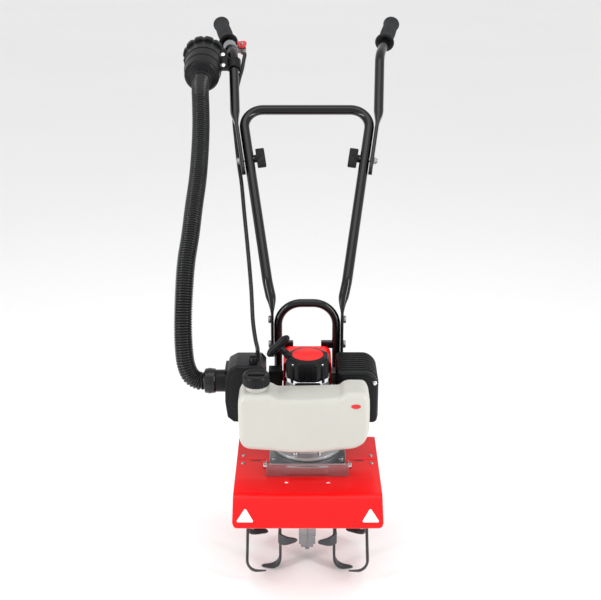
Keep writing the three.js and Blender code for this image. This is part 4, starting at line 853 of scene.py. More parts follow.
def fender_half(name, way, split, edge, holes, m):
    """A flat sheet bent down along its outer edge by an arc. The lip is shorter near its ends, so that
    its corners are round, and the sheet has a square notch for the gearbox column and round holes."""
    sheet, lip, corner, column = 2.5, 61.0, 9.0, 20
    kept_lines = (-FENDER_HALF, FENDER_HALF, -column, column, *(h[0] for h in holes))
    x = spaced((-FENDER_HALF, FENDER_HALF), 2.9, *kept_lines)
    end = (edge + way * lip * math.cos(LIP_SLOPE), FENDER_TOP - lip * math.sin(LIP_SLOPE), 0)
    bend = rounded_line([(split, FENDER_TOP, 0), (edge, FENDER_TOP, 0), end], [16], 12)
    total = along(bend)[-1]
    flat = along(bend[:2])[-1]
    over = np.clip(np.abs(x) - (FENDER_HALF - corner), 0, corner)
    short = corner - np.sqrt(corner**2 - over**2)
    down = spaced((0, total), 2.9, 0.0, total, *(abs(h[1] - split) for h in holes))
    down = np.unique(np.append(down, abs(column + split)))
    s = down[:, None] * np.ones(len(x))[None, :]
    lip_part = s > flat
    s = np.where(lip_part, flat + (s - flat) * (total - short - flat)[None, :] / (total - flat), s)
    y = np.interp(s, along(bend), bend[:, 0])
    z = np.interp(s, along(bend), bend[:, 1]) - sheet / 2
    x = np.broadcast_to(x, y.shape).copy()
    middle_x = (x[:-1, :-1] + x[1:, 1:]) / 2
    middle_y = (y[:-1, :-1] + y[1:, 1:]) / 2
    keep = ~((np.abs(middle_x) < column) & (np.abs(middle_y) < column))
    for hx, hy, radius in holes:
        away = np.hypot(x - hx, y - hy)
        near = (away > 0.3 * radius) & (away < 1.45 * radius) & (z > FENDER_TOP - sheet)
        pull = np.where(near, radius / np.maximum(away, 0.1), 1.0)
        pull = np.where(np.abs(away - radius) < 1.5, pull, 1.0)
        x, y = hx + (x - hx) * pull, hy + (y - hy) * pull
        keep &= np.hypot(middle_x - hx, middle_y - hy) > radius
    piece = Piece(name)
    add_shell(piece, sheet_shell(np.stack([x, y, z], -1), keep, sheet / 2), m["red_paint"])
    return piece


def slab(outline, w0, w1, lay):
    """An outline as a plain slab from w0 to w1."""
    depth = np.array([[w0], [w1]]) * np.ones((1, len(outline)))
    return lay(*(np.repeat(outline[None, :, i], 2, 0) for i in (0, 1)), depth)


def lip_triangle(piece, side, m):
    """A plain white triangle on the lip, with nothing on it."""
    half_width, height = 16.0, 24.8
    down = np.array([0, -math.cos(LIP_SLOPE), -math.sin(LIP_SLOPE)])
    normal = np.array([0, -math.sin(LIP_SLOPE), math.cos(LIP_SLOPE)])
    foot = np.array([side * 112.0, -133.0, FENDER_TOP]) + 50 * down
    outline = loop_2d([(-half_width, -1.5), (half_width, -1.5), (0, height)], [2.2] * 3, 0.8)
    piece.add(slab(outline, -0.2, 0.4, plane((1, 0, 0), -down, normal, foot)), m["label"])


RIVET = [(0, -0.4), (3.8, -0.4), (3.8, 0.3), (3.0, 1.3), (0, 1.8)]


def make_fender(m):
    """The front half with its marks, rivets and a strip of painted shadow at its split line, and the plainer rear
    half.
    """
    holes = [(-38, -88, 4), (38, -88, 4)]
    front = fender_half("fender_front_sheet", -1, -5.1, -133, holes, m)
    for side in (LEFT, RIGHT):
        lip_triangle(front, side, m)
        front.add(turned(RIVET, (side * 122, -18, 215), sides=24), m["steel"])
        # A thin black strip on the sheet beside the split line: painted shadow.
        front.add(rounded_block((side * 88, -9.4, 214.6), (side * 108, -6.2, 215.3), 0.3), m["label_edge"])
    front.finish("root", "fender_front", slot="red_paint", angle=40)
    rear = fender_half("fender_rear_sheet", 1, -2.9, 92, [(-38, 70, 4), (38, 70, 4)], m)
    for side in (LEFT, RIGHT):
        rear.add(turned(RIVET, (side * 122, 12, 215), sides=24), m["steel"])
    rear.finish("root", "fender_rear", slot="red_paint", angle=40)


def make_plate(m):
    """The mounting plate with its two folded flanges. The front one carries a pressed rectangle whose
    rise is a product of two smooth steps, and a bolt at each end."""
    piece = Piece("mount_plate_sheet")
    outline = loop_2d([(-71, -70), (71, -70), (71, 142), (-71, 142)], [5, 5, 10, 10], 2.0)
    piece.add(pillow(outline, PLATE_TOP - 4, PLATE_TOP, 1.0, TOP_VIEW), m["steel"])
    x, z = np.linspace(-76, 76, 78), np.linspace(215.4, 242.4, 26)
    gx, gz = np.meshgrid(x, z)
    press = np.clip((38 - np.abs(gx)) / 2.2, 0, 1) * np.clip((9.5 - np.abs(gz - 228)) / 1.6, 0, 1)
    rows = np.stack([gx, -68.2 - press * (1.0 + 1.6 * (1 - np.abs(gx) / 38)), gz], -1)
    add_shell(piece, sheet_shell(rows, np.ones((25, 77), bool), 0.9), m["steel"])
    piece.add(rounded_block((-76, 86.1, 215.4), (76, 88.9, 242.6), 0.8), m["steel"])
    flange_bolt = [(0, 0), (7.2, 0), (7.2, 1.3), (5.6, 1.4), (5.6, 5), (4.8, 5.8), (0, 5.8)]
    plate_bolt = eased([(0, 0), (5, 0), (5, 3.4), (0, 3.8)], 0.6)
    for side in (LEFT, RIGHT):
        ear = rounded_block((side * 76, -69.4, 226), (side * 74, -52, 243), 0.9)
        piece.add(ear, m["steel"])
        piece.add(turned(flange_bolt, (side * 76, -61, 234), (side, 0, 0), 24), m["chrome"])
        for y in (-52, 128):
            piece.add(turned(plate_bolt, (side * 62, y, PLATE_TOP), sides=36), m["steel"])
    piece.finish("root", "mount_plate", slot="grey_paint", angle=40)


def make_clutch_housing(m):
    """A cast bell: its profile is turned, and eight webs stand between its flange and its neck."""
    outside = [(15, 0), (65, 0), (65, 7), (57, 12.5), (50, 27), (48, 39), (48, 48)]
    profile = eased([*outside, (43.8, 48), (43.8, 6), (15, 6)], 2.2)
    boss = eased([(0, 4), (6, 4), (6, 11), (0, 11)], 0.8)
    screw = [(0, 11), (4.4, 11), (4.4, 15), (3.8, 15.6), (0, 15.6)]
    piece = Piece("clutch_housing_casting")
    piece.add(turned(profile, HOUSING_FOOT, sides=96), m["cast_aluminium"], closed_rows=True)
    for k in range(8):
        angle = math.radians(22.5 + 45 * k)
        way = np.array([math.cos(angle), math.sin(angle), 0])
        lay = plane(way, (0, 0, 1), np.cross(way, (0, 0, 1)), HOUSING_FOOT)
        web = loop_2d([(46, 6), (62, 6), (62, 9), (50, 38), (46, 40)], [1, 1, 2, 2, 1], 1.5)
        piece.add(pillow(web, -2, 2, 1.0, lay), m["cast_aluminium"])
        if k % 2:
            at = HOUSING_FOOT + 58.5 * way
            piece.add(turned(boss, at, sides=30), m["cast_aluminium"])
            piece.add(turned(screw, at, sides=30), m["steel"])
    piece.finish("root", "clutch_housing", slot="cast_aluminium", angle=45)


def tank_outline(x0, x1, z0, z1, lobe, right, left):
    """The tank from the front: a low sagging belly, round bottom corners and a lobe at each top corner.
    Curved runs are quadratic Bezier curves."""
    def bezier(a, b, c, steps=10):
        t = np.linspace(0, 1, steps, endpoint=False)[:, None]
        a, b, c = (np.array(p, float) for p in (a, b, c))
        return (1 - t) ** 2 * a + 2 * t * (1 - t) * b + t**2 * c

    def arc(middle, radius, start, end, steps=12):
        t = np.radians(np.linspace(start, end, steps, endpoint=False))
        return np.stack([middle[0] + radius * np.cos(t), middle[1] + radius * np.sin(t)], axis=1)

    high = z1 + lobe
    runs = [
        bezier((x0 + right, z0 + 4), ((x0 + x1) / 2, z0 - 4), (x1 - left, z0 + 4), 24),
        arc((x1 - left, z0 + 4 + left), left, -90, 0),
        bezier((x1, z1 - 8), (x1, high), (x1 - 16, high)),
        bezier((x1 - 34, high), (x1 - 46, high), (x1 - 54, z1)),
        bezier((x0 + 68, z1), (x0 + 58, high - 4), (x0 + 48, high - 4)),
        bezier((x0 + 16, high - 4), (x0, high - 4), (x0, z1 - 10)),
        arc((x0 + right, z0 + 4 + right), right, 180, 270),
    ]
    points = np.vstack(runs)
    closed = np.column_stack([np.vstack([points, points[:1]]), np.zeros(len(points) + 1)])
    length = along(closed)[-1]
    return resampled(closed, np.linspace(0, length, 180, endpoint=False))[:, :2]


def make_tank(m):
    """The blown tank, as sections square to X. The belly, the lobes and the round bottom corners are
    the lowest and highest point of the front outline at each X; the front wall stands forward by a
    straight ramp on each side of a flat middle; each section is a rectangle with round corners, and
    the sections shrink by a quarter circle towards both ends."""
    x0, x1, y0, y1, z0, z1 = -123.0, 109.0, -135.0, -60.0, 297.0, 401.0
    rise, middle, roll = 5.0, -7.0, 12.0
    outline = tank_outline(x0, x1, z0, z1, 12.0, 24.0, 38.0)
    ends = roll * (1 - np.cos(np.linspace(0.12, np.pi / 2, 14)))
    creases = [middle + side * half for side in (-1, 1) for half in (28.0, 30.0, 59.0, 61.0)]
    x = np.concatenate([x0 + ends, spaced((x0 + roll + 3, x1 - roll - 3), 3.0, *creases), (x1 - ends)[::-1]])
    lower = outline[outline[:, 1] < 352]
    upper = outline[outline[:, 1] >= 352]
    lower, upper = lower[np.argsort(lower[:, 0])], upper[np.argsort(upper[:, 0])]
    bottom = np.interp(x, lower[:, 0], lower[:, 1])
    top = np.interp(x, upper[:, 0], upper[:, 1])
    into = np.clip(np.minimum(x - x0, x1 - x) / roll, 0, 1)
    drawn = roll * (1 - np.sqrt(np.clip(1 - (1 - into) ** 2, 0, 1)))
    share = np.clip((60 - np.abs(x - middle)) / 31, 0, 1)
    front = y0 + rise * (1 - share) + drawn
    back = y1 - drawn
    bottom, top = bottom + 0.35 * drawn, top - 0.35 * drawn
    quarter = np.linspace(0, np.pi / 2, 9)
    turn = np.concatenate([quarter + k * np.pi / 2 for k in range(4)])[None, :]
    cy, cz = (front + back)[:, None] / 2, (bottom + top)[:, None] / 2
    hy, hz = (back - front)[:, None] / 2, (top - bottom)[:, None] / 2
    corner = np.minimum(roll, 0.95 * np.minimum(hy, hz))
    sign_y = np.repeat([1, -1, -1, 1], 9)[None, :]
    sign_z = np.repeat([1, 1, -1, -1], 9)[None, :]
    y = cy + sign_y * (hy - corner) + corner * np.cos(turn)
    z = cz + sign_z * (hz - corner) + corner * np.sin(turn)
    rows = np.stack([x[:, None] + 0 * y, y, z], -1)
    piece = Piece("fuel_tank_moulding").add(rows, m["tank_plastic"])
    neck = eased([(19, 401), (19, 417.5), (16.5, 418), (16.5, 401)], 0.5)
    piece.add(turned(neck, (*CAP_SEAT[:2], 0)), m["tank_plastic"], closed_rows=True)
    strap = rounded_line([(0, -70, 402.2), (0, -61.6, 402.2), (0, -58.6, 388)], [5], 6)
    piece.add(swept(even(strap, 1.5), (1, 0, 0), 23.0, 1.6, 24, 6), m["black_plastic"])
    lay = plane((1, 0, 0), (0, 0, 1), (0, -1, 0), (84, 0, 389))
    piece.add(slab(ellipse(8.5, 4.2), 125.0, 130.5, lay), m["red_plastic"])
    piece.finish("root", "fuel_tank", slot="tank_plastic", angle=25)


def make_fuel_cap(sizes, m):
    """A cap with grip ribs round its wall, a rolled rim and a dished top with a raised bar."""
    def ribs(angle, height):
        fade = smoothstep(height, 2.5, 4) * (1 - smoothstep(height, 15, 17))
        return -0.8 * fade * (0.5 - 0.5 * np.cos(sizes.cap_ribs * angle)) ** 2

    profile = [(0.05, 0.3), (23, 0.3), (24, 1.5), (24, 16), (22.4, 19.4), (20, 20.2), (17, 19.6)]
    profile += [(15, 18.4), (0.05, 18.2)]
    dense = dense_profile(eased(profile, 1.2), 90)
    piece = Piece("fuel_cap_moulding")
    piece.add(turned(dense, CAP_SEAT, sides=180, ripple=ribs), m["black_plastic"])
    bar = loop_2d([(-15, -3.5), (15, -3.5), (15, 3.5), (-15, 3.5)], [3.2] * 4, 0.8)
    lay = plane((1, 0, 0), (0, 1, 0), (0, 0, 1), CAP_SEAT)
    piece.add(pillow(bar, 17.5, 20.6, 1.2, lay), m["black_plastic"])
    piece.finish("cap", "fuel_cap", slot="black_plastic", angle=45)


SCREW = [(0, 0), (4.4, 0), (4.4, 1.4), (3.4, 2.2), (0, 2.2)]


def make_muffler_cover(m):
    """A moulded cover rolled over at front and back, with nine raised ribs round it, a raised face
    at its front and two screws."""
    x0, x1, y0, y1, z0, z1 = 56.0, 131.0, -9.0, 95.0, 295.0, 398.0
    outline = loop_2d([(x0, z0), (x1, z0), (x1, z1), (x0, z1)], [5, 9, 26, 7], 1.6, 12)
    rows = pillow(outline, y0, y1, 6, FRONT_VIEW, steps=6)
    piece = Piece("muffler_cover_moulding").add(rows, m["black_plastic"])
    normal = outward_normals(outline)
    for k in range(9):
        y = y0 + 15 + 9.2 * k
        piece.add(pillow(outline + 1.9 * normal, y, y + 4.2, 1.6, FRONT_VIEW), m["black_plastic"])
    face = outline.mean(axis=0) + (outline - outline.mean(axis=0)) * np.array([0.84, 0.88])
    piece.add(pillow(face, y0 - 1.8, y0 + 3, 1.6, FRONT_VIEW), m["black_plastic"])
    for x, z in ((124, 378), (66, 302)):
        piece.add(turned(SCREW, (x, y0 + 0.4, z), (0, -1, 0), 36), m["chrome"])
    piece.finish("root", "muffler_cover", slot="black_plastic", angle=40)


def box_outline(by):
    """The air box from the front, drawn in on every side by a small amount."""
    x0, x1, z0, z1 = -154.0, -78.0, 297.0, 409.0
    corners = [
        (x0 + 16, z0 + by), (x0 + 4 + by, z0 + 10), (x0 + by, z0 + 42), (x0 + 1 + by, z1 - 24),
        (x0 + 7 + by, z1 - 8), (x0 + 22, z1 - by), (x1 - 8, z1 - by), (x1 - by, z1 - 10),
        (x1 - by, z0 + 8), (x1 - 8, z0 + by),
    ]
    return loop_2d(corners, [5, 5, 9, 9, 8, 8, 5, 5, 5, 5], 1.4, 10)


def make_air_box(m):
    """The air box body with its neck and the hose's cuff, and a front cover with a raised face."""
    piece = Piece("air_box_moulding")
    piece.add(pillow(box_outline(0), -2.7, 67, 5, FRONT_VIEW, steps=6), m["black_plastic"])
    line = [(0.05, 0), (21, 0), (21, 28), (0.05, 28)]
    piece.add(turned(eased(line, 1.4), (-172.5, 24, 368), (1, 0, 0), 64), m["black_plastic"])
    cuff = [(16, 0), (21.5, 0), (23.4, 2), (23.4, 18), (22, 21), (16, 21)]
    piece.add(turned(eased(cuff, 1.2), HOSE_NECK, (1, 0, 0), 64), m["hose_rubber"], closed_rows=True)
    band = [(23.0, 6), (24.2, 6), (24.2, 13), (23.0, 13)]
    piece.add(turned(eased(band, 0.3), HOSE_NECK, (1, 0, 0), 64), m["hose_rubber"], closed_rows=True)
    for z in (330, 352, 392):
        piece.add(rounded_block((-154.8, 12, z - 1.6), (-142, 60, z + 1.6), 1.2), m["black_plastic"])
    piece.finish("root", "air_box", slot="black_plastic", angle=40)
    cover = Piece("air_box_cover_moulding")
    cover.add(pillow(box_outline(0.2), -8.2, -3.1, 2.4, FRONT_VIEW, steps=5), m["black_plastic"])
    face = box_outline(0.2)
    face = face.mean(axis=0) + (face - face.mean(axis=0)) * np.array([0.78, 0.86])
    cover.add(pillow(face, -9.9, -6, 1.6, FRONT_VIEW, steps=4), m["black_plastic"])
    screw = eased([(0, 0), (6, 0), (6, 2), (4.6, 3), (0, 3)], 0.6)
    cover.add(turned(screw, (-112, -6.9, 354), (0, -1, 0), 40), m["grey_plastic"])
    cover.finish("root", "air_box_cover", slot="black_plastic", angle=40)


def make_recoil(m):
    """An eight-sided starter cover: each section is an octagon with round corners, drawn in at the top
    by a quarter circle. Vents stand round it, and a plain red disc sits in the middle of its top."""
    z0, z1, across = 384.7, 432.7, 78.0
    reach = across / 2 / math.cos(math.pi / 8)
    angles = [(i + 0.5) * math.pi / 4 for i in range(8)]
    corners = [(reach * math.cos(a), reach * math.sin(a)) for a in angles]
    outline = loop_2d(corners, [7] * 8, 1.2, 10)
    piece = Piece("recoil_housing_moulding")
    piece.add(pillow(outline, z0 + 8.6, z1 - 1.4, 6, TOP_VIEW, steps=7), m["black_plastic"])
    base = loop_2d(corners, [8] * 8, 1.5, 8)
    piece.add(pillow(base + 1.5 * outward_normals(base), z0, z0 + 9, 1.2, TOP_VIEW), m["chrome"])
    disc = eased([(0, 0), (33, 0), (33, 1.2), (31.5, 2.4), (0, 2.8)], 0.8)
    piece.add(turned(disc, (0, 0, z1 - 2.6), sides=96), m["black_plastic"])
    red = eased([(0, 0), (29, 0), (29, 0.6), (28, 1.2), (0, 1.6)], 0.4)
    piece.add(turned(red, (0, 0, z1 - 0.8), sides=96), m["red_paint"])
    boss = eased([(0, 2), (6.5, 2), (6.5, 37), (0, 37)], 1.2)
    screw = eased([(0, 36), (4.6, 36), (4.6, 40), (0, 40.6)], 0.8)
    for angle in np.radians(np.arange(4) * 90 + 45):
        at = (35.2 * math.cos(angle), 35.2 * math.sin(angle), z0)
        piece.add(turned(boss, at, sides=36), m["black_plastic"])
        piece.add(turned(screw, at, sides=36), m["chrome"])
    for k in range(4):
        angle = math.radians(90 * k)
        way = np.array([math.cos(angle), math.sin(angle), 0])
        side = np.array([-way[1], way[0], 0])
        lay = plane(side, (0, 0, 1), way, (0, 0, 0))
        for middle in (-9, -3, 3, 9):
            a, b = middle - 1.3, middle + 1.3
            rib = loop_2d([(a, z0 + 14), (b, z0 + 14), (b, z1 - 9), (a, z1 - 9)], [1.2] * 4, 0.8)
            piece.add(pillow(rib, 38.4, 39.9, 0.7, lay), m["black_plastic"])
    pull = unit((-1, 0, 1))
    guide = np.array([-across / 2 + 9, 0, z1 - 8])
    tube = eased([(2.5, 0), (8, 0), (6.5, 17), (2.5, 17)], 0.6)
    piece.add(turned(tube, guide, pull, 40), m["black_plastic"], closed_rows=True)
    piece.finish("root", "recoil_housing", slot="black_plastic", angle=40)

    across_way = unit((1, 0, 1))
    grip = Piece("starter_grip_moulding")
    foot = guide + 17.3 * pull
    grip.add(turned(eased([(0, 0), (5.5, 0), (7.5, 14), (0, 14)], 0.8), foot, pull, 36), m["black_plastic"])
    share = np.linspace(-1, 1, 60)
    end = np.sqrt(np.clip(1 - np.abs(share) ** 6, 0.001, 1))
    bow = 16.7 - 1.5 * (share[:, None] ** 2 - 0.6)
    path = foot + bow * pull + 28 * share[:, None] * across_way
    thick = 7.4 * end * (1 - 0.08 * np.cos(2 * np.pi * share))
    grip.add(swept(path, pull, thick, 7.8 * end, 36, 2.2), m["black_plastic"])
    grip.finish("pull", "starter_grip", slot="black_plastic", angle=50)


def make_shroud(m):
    """The red cowl round the cylinder, open to the fan, with raised ribs on its top."""
    half, wall, count = np.array([46.0, 44.0]), 2, 240
    front, back = 46.5, 112.9

    def ring(inward, radius):
        u, v = half - inward
        corners = [(-u, CRANK_Z - v), (u, CRANK_Z - v), (u, CRANK_Z + v), (-u, CRANK_Z + v)]
        return resample_loop(loop_2d(corners, [radius] * 4, 1.8, 10), count)

    def at_depth(outline, depth):
        return FRONT_VIEW(outline[:, 0], outline[:, 1], np.full(count, depth))

    piece = Piece("cylinder_shroud_moulding")
    outer, inner = ring(0, 14), ring(wall, 12)
    turn = np.linspace(0, np.pi / 2, 6)
    depth = np.minimum(np.concatenate([np.linspace(front, 109, 8), 111 + 4 * np.sin(turn)]), back)
    inset = np.concatenate([np.zeros(8), 5 * (1 - np.cos(turn))])
    rows = [at_depth(inner, 108.0), at_depth(inner, front)]
    rows += [at_depth(outer - i * outward_normals(outer), d) for d, i in zip(depth, inset)]
    piece.add(np.array(rows), m["red_paint"])
    top = CRANK_Z + half[1]
    for y in range(56, 106, 10):
        piece.add(rounded_block((-26, y, top - 1), (26, y + 4, top + 1), 1), m["red_paint"])
    return piece


def make_canister(m):
    """The remote filter's cup and clamp, with ribs along the cup, and its notched lid."""
    way = CANISTER_WAY
    profile = [(13.5, -18), (20.4, -18), (20.4, -2), (31, 0), (36, 5), (38.4, 45)]
    profile += [(41, CANISTER_LENGTH), (38.5, CANISTER_LENGTH), (33, 6), (13.5, 3)]
    piece = Piece("filter_canister_moulding")
    piece.add(turned(eased(profile, 1.8), CANISTER_BASE, way, 96), m["black_plastic"], closed_rows=True)
    band = eased([(20.2, -15), (21.4, -15), (21.4, -7), (20.2, -7)], 0.3)
    piece.add(turned(band, CANISTER_BASE, way, 64), m["hose_rubber"], closed_rows=True)
    for height in (30, 58):
        r = 36 + 5 * (height - 5) / 83
        hoop = eased([(r - 1, height), (r + 1.2, height), (r + 1.3, height + 3), (r - 1, height + 3)], 0.8)
        piece.add(turned(hoop, CANISTER_BASE, way, 96), m["black_plastic"], closed_rows=True)
    at, along_bar = CLAMP
    ring = eased([(10.9, -11), (15, -11), (15, 11), (10.9, 11)], 1.4)
    piece.add(turned(ring, at, along_bar, 48), m["black_plastic"], closed_rows=True)
    web = loop_2d([(-52, -12), (-10, -12), (-8, 14), (-14, 34), (-46, 34)], [4, 3, 6, 5, 5], 1.4)
    through = np.cross((1, 0, 0), along_bar)
    piece.add(pillow(web, -7, 7, 2.5, plane((1, 0, 0), along_bar, through, at)), m["black_plastic"])
    bolt = eased([(0, 6), (4.6, 6), (4.6, 9), (0, 9.4)], 0.5)
    for up in (-6, 20):
        piece.add(turned(bolt, at + (-22, 0, 0) + up * along_bar, through, 30), m["chrome"])
    piece.finish("bar_right", "filter_canister", slot="black_plastic", angle=45)

    notches, sides = 12, 240
    profile = [(0.05, 0), (44.5, 0), (46, 1.5), (46, 11.5), (44.6, 14.5), (41, 17), (30, 17.4)]
    profile += [(28, 18.9), (0.05, 19)]
    dense = dense_profile(eased(profile, 1.6, 6), 100)
    angle = np.linspace(0, 2 * np.pi, sides, endpoint=False)[None, :]
    notch = -3.0 * (0.5 + 0.5 * np.cos(notches * angle)) ** 5 * smoothstep(dense[:, :1], 36, 42)
    first, second = basis(way)
    round_it = np.cos(angle)[..., None] * first + np.sin(angle)[..., None] * second
    cover = Piece("filter_lid_moulding")
    rows = turned(dense, CANISTER_BASE + (CANISTER_LENGTH + 0.3) * way, way, sides)
    rows = rows + notch[..., None] * round_it
    cover.add(rows, m["black_plastic"])
    cover.finish("filter_cover", "filter_lid", slot="black_plastic", angle=45)


# ---- tines and axle ----
def make_tine(name, nodes, x, hub, first_angle, bends, reaches, m):
    """A star of four arms on a hub. Each arm is a strip that runs out, turns through a small arc and
    ends in a blade along the axle; its width swells and is swept back towards the blade."""
    piece = Piece(name)
    fillet, tip, power = 20.0, 98.0, 5.0
    hub_profile = eased([(10.4, hub[0]), (15, hub[0]), (15, hub[1]), (10.4, hub[1])], 1.2)
    piece.add(turned(hub_profile, AXLE, (1, 0, 0), 64), m["grey_paint"], closed_rows=True)
    weld = np.linspace(0, 2 * np.pi, 16, endpoint=False)[:, None]
    bead = np.concatenate([15 + 2.2 * np.cos(weld), x - 2.5 + 2.2 * np.sin(weld)], axis=1)
    bead_rows = turned(bead, AXLE, (1, 0, 0), 64, lambda a, h: 0.25 * np.cos(26 * a))
    piece.add(bead_rows, m["grey_paint"], closed_rows=True)
    for i in range(4):
        bend, reach = bends(i), reaches(i)
        turn = math.radians(first_angle + 90 * i)
        out = np.array([0, math.cos(turn), math.sin(turn)])
        other = np.array([0, -math.sin(turn), math.cos(turn)])
        line = even(rounded_line([(12, 0, 0), (tip, 0, 0), (tip, reach, 0)], [fillet], 10), 1.6)
        s = along(line)
        share = np.clip(s / s[-1], 0, 1)
        half = np.interp(share, [0, 0.35, 0.62, 0.78, 1], [11.5, 12.5, 12, 9.6, 3.4])
        shift = np.interp(share, [0, 0.45, 0.7, 1], [0, 0, -7.0, -10.5 if bend > 0 else -6.0])
        nose = rounded_end(s[-1] - s, 5.0, 0.15)
        path = AXLE + line[:, :1] * out + (x + bend * line[:, 1:2]) * np.array([1.0, 0, 0])
        tangent = np.gradient(path, axis=0)
        tangent /= np.linalg.norm(tangent, axis=1)[:, None]
        thick_way = np.cross(tangent, other)
        angle = np.linspace(0, 2 * np.pi, 24, endpoint=False)[None, :]
        c, d = np.cos(angle), np.sin(angle)
        a = 2.5 * np.sign(c) * np.abs(c) ** (2 / power) * np.interp(share, [0, 0.8, 1], [1, 1, 0.55])[:, None]
        b = (half * nose)[:, None] * np.sign(d) * np.abs(d) ** (2 / power) + shift[:, None]
        rows = path[:, None] + a[..., None] * thick_way[:, None] + b[..., None] * other
        piece.add(rows, m["grey_paint"])
    piece.finish("tines", *nodes, slot="grey_paint", angle=45)


def make_tines(m):
    """An inner and an outer star and the pin on each side. The inner star's blades turn both ways."""
    for side, name in ((LEFT, "left"), (RIGHT, "right")):
        def both_ways(i, side=side):
            return -side if i % 2 else side

        def inner_reach(i, side=side):
            return 33.0 if both_ways(i) * side < 0 else 36.3

        inner_hub = sorted((side * 20.0, side * 64.0))
        outer_hub = sorted((side * 64.3, side * 118.0))
        inner, outer = f"tine_inner_{name}", f"tine_outer_{name}"
        make_tine(inner + "_forging", [inner], side * 52.0, inner_hub, -93, both_ways, inner_reach, m)
        make_tine(outer + "_forging", [outer], side * 114.0, outer_hub, -130,
                  lambda i, side=side: -side, lambda i: 36.3, m)
        pin = Piece(f"tine_pin_{name}_clip")
        shank = eased([(0, -22), (3, -22), (3, 16), (5.5, 16), (5.5, 20), (0, 20)], 0.6)
        pin.add(turned(shank, AXLE + (side * 105, 0, 0), (0, 0, 1), 30), m["steel"])
        pin.finish("tines", f"tine_pin_{name}", slot="steel")


EASED = (
    ("gearbox_case_left", 1.2, "cast_aluminium"), ("gearbox_case_right", 1.2, "cast_aluminium"),
    ("gearbox_end_cap", 1.2, "cast_aluminium"), ("throttle_bracket", 0.8, "steel"),
    ("throttle_lever", 1.0, "red_plastic"), ("stop_switch", 0.6, "red_plastic"),
    ("choke_knob", 0.8, "black_plastic"), ("fan_housing", 1.0, "black_plastic"),
    ("carburettor", 1.2, "black_plastic"), ("muffler", 1.0, "steel"), ("crankcase", 1.2, "cast_aluminium"),
    ("tine_axle", 0.8, "steel"),
)


# ---- settings ----
class TILLER_sizes(PropertyGroup):
    """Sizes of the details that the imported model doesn't carry."""

    hose_pitch: FloatProperty(
        name="Hose pitch", description="Distance between two rings of the hose, in millimetres",
        default=4.8, min=3.0, max=9.0,
    )
    hose_depth: FloatProperty(
        name="Hose depth", description="Depth of the hose's corrugation, in millimetres",
        default=2.4, min=0.5, max=3.5,
    )
    grip_ribs: IntProperty(
        name="Grip ribs", description="Ribs round a handle grip", default=30, min=8, max=48,
    )
    cap_ribs: IntProperty(
        name="Cap ribs", description="Ribs round the fuel cap", default=30, min=8, max=48,
    )


def colour_setting(name, description, default):
    return FloatVectorProperty(name=name, description=description, subtype="COLOR", size=3, default=default)


class TILLER_colours(PropertyGroup):
    """Base colours of the painted and moulded parts."""

    red: colour_setting("Red paint", "Fender and engine cowl", (0.8, 0.004, 0.005))
    tube_black: colour_setting("Tube paint", "Handle tubes and engine hoop", (0.003, 0.003, 0.0035))
    plastic_black: colour_setting("Black plastic", "Covers and housings", (0.006, 0.0062, 0.007))
    lever_red: colour_setting("Lever red", "Throttle lever and stop switch", (0.5, 0.03, 0.035))
    grey: colour_setting("Tine grey", "Paint on the tines", (0.035, 0.038, 0.042))
    tank: colour_setting("Tank plastic", "Natural plastic of the fuel tank", (0.44, 0.434, 0.395))


class TILLER_stage(PropertyGroup):
    """The camera, the lights and the floor."""

    lens: FloatProperty(
        name="Lens", description="Focal length in millimetres",
        default=65.9, min=20, max=200,
    )
    pitch: FloatProperty(
        name="Pitch", description="The camera's rotation about X",
        subtype="ANGLE", default=math.radians(69.4),
    )
    side_power: FloatProperty(
        name="Side light", description="Power of each tall side light, in watts",
        default=26.0, min=0,
    )
    top_power: FloatProperty(
        name="Top light", description="Power of the light overhead, in watts",
        default=9.0, min=0,
    )
    world_level: FloatProperty(
        name="World", description="Strength of the surrounding light",
        default=0.92, min=0,
    )


# ---- operators ----
class TILLER_OT_stage(Operator):
    """Place the camera, lights, floor and surroundings"""

    bl_idname = "tiller.stage"
    bl_label = "Stage"

    def execute(self, context):
        set_stage(context.scene.tiller_stage)
        return {"FINISHED"}


class TILLER_OT_cords(Operator):
    """Build the corrugated intake hose and the throttle conduit"""

    bl_idname = "tiller.cords"
    bl_label = "Cords"

    def execute(self, context):
        make_hose(context.scene.tiller_sizes, finishes())
        make_conduit(finishes())
        return {"FINISHED"}


class TILLER_OT_tubes(Operator):
    """Build the handle frame, the upper bars and the engine hoop"""

    bl_idname = "tiller.tubes"
    bl_label = "Tubes"

    def execute(self, context):
        make_handle_frame(finishes())
        make_upper_bars(finishes())
        make_hoop(finishes())
        return {"FINISHED"}


class TILLER_OT_controls(Operator):
    """Build the grips and the fold knobs"""

    bl_idname = "tiller.controls"
    bl_label = "Grips and knobs"

    def execute(self, context):
        make_grips(context.scene.tiller_sizes, finishes())
        make_fold_knobs(finishes())
        return {"FINISHED"}


class TILLER_OT_filter(Operator):
    """Build the remote filter and its lid"""

    bl_idname = "tiller.filter"
    bl_label = "Filter"

    def execute(self, context):
        make_canister(finishes())
        return {"FINISHED"}


class TILLER_OT_fender(Operator):
    """Build both fender halves and the mounting plate"""

    bl_idname = "tiller.fender"
    bl_label = "Fender and plate"

    def execute(self, context):
        make_fender(finishes())
        make_plate(finishes())
        return {"FINISHED"}


class TILLER_OT_engine(Operator):
    """Build the engine's covers, starter, cowl and clutch housing"""

    bl_idname = "tiller.engine"
    bl_label = "Engine"

    def execute(self, context):
        make_clutch_housing(finishes())
        make_muffler_cover(finishes())
        make_air_box(finishes())
        make_recoil(finishes())
        make_shroud(finishes()).finish("root", "cylinder_shroud", slot="red_paint", angle=40)
        return {"FINISHED"}


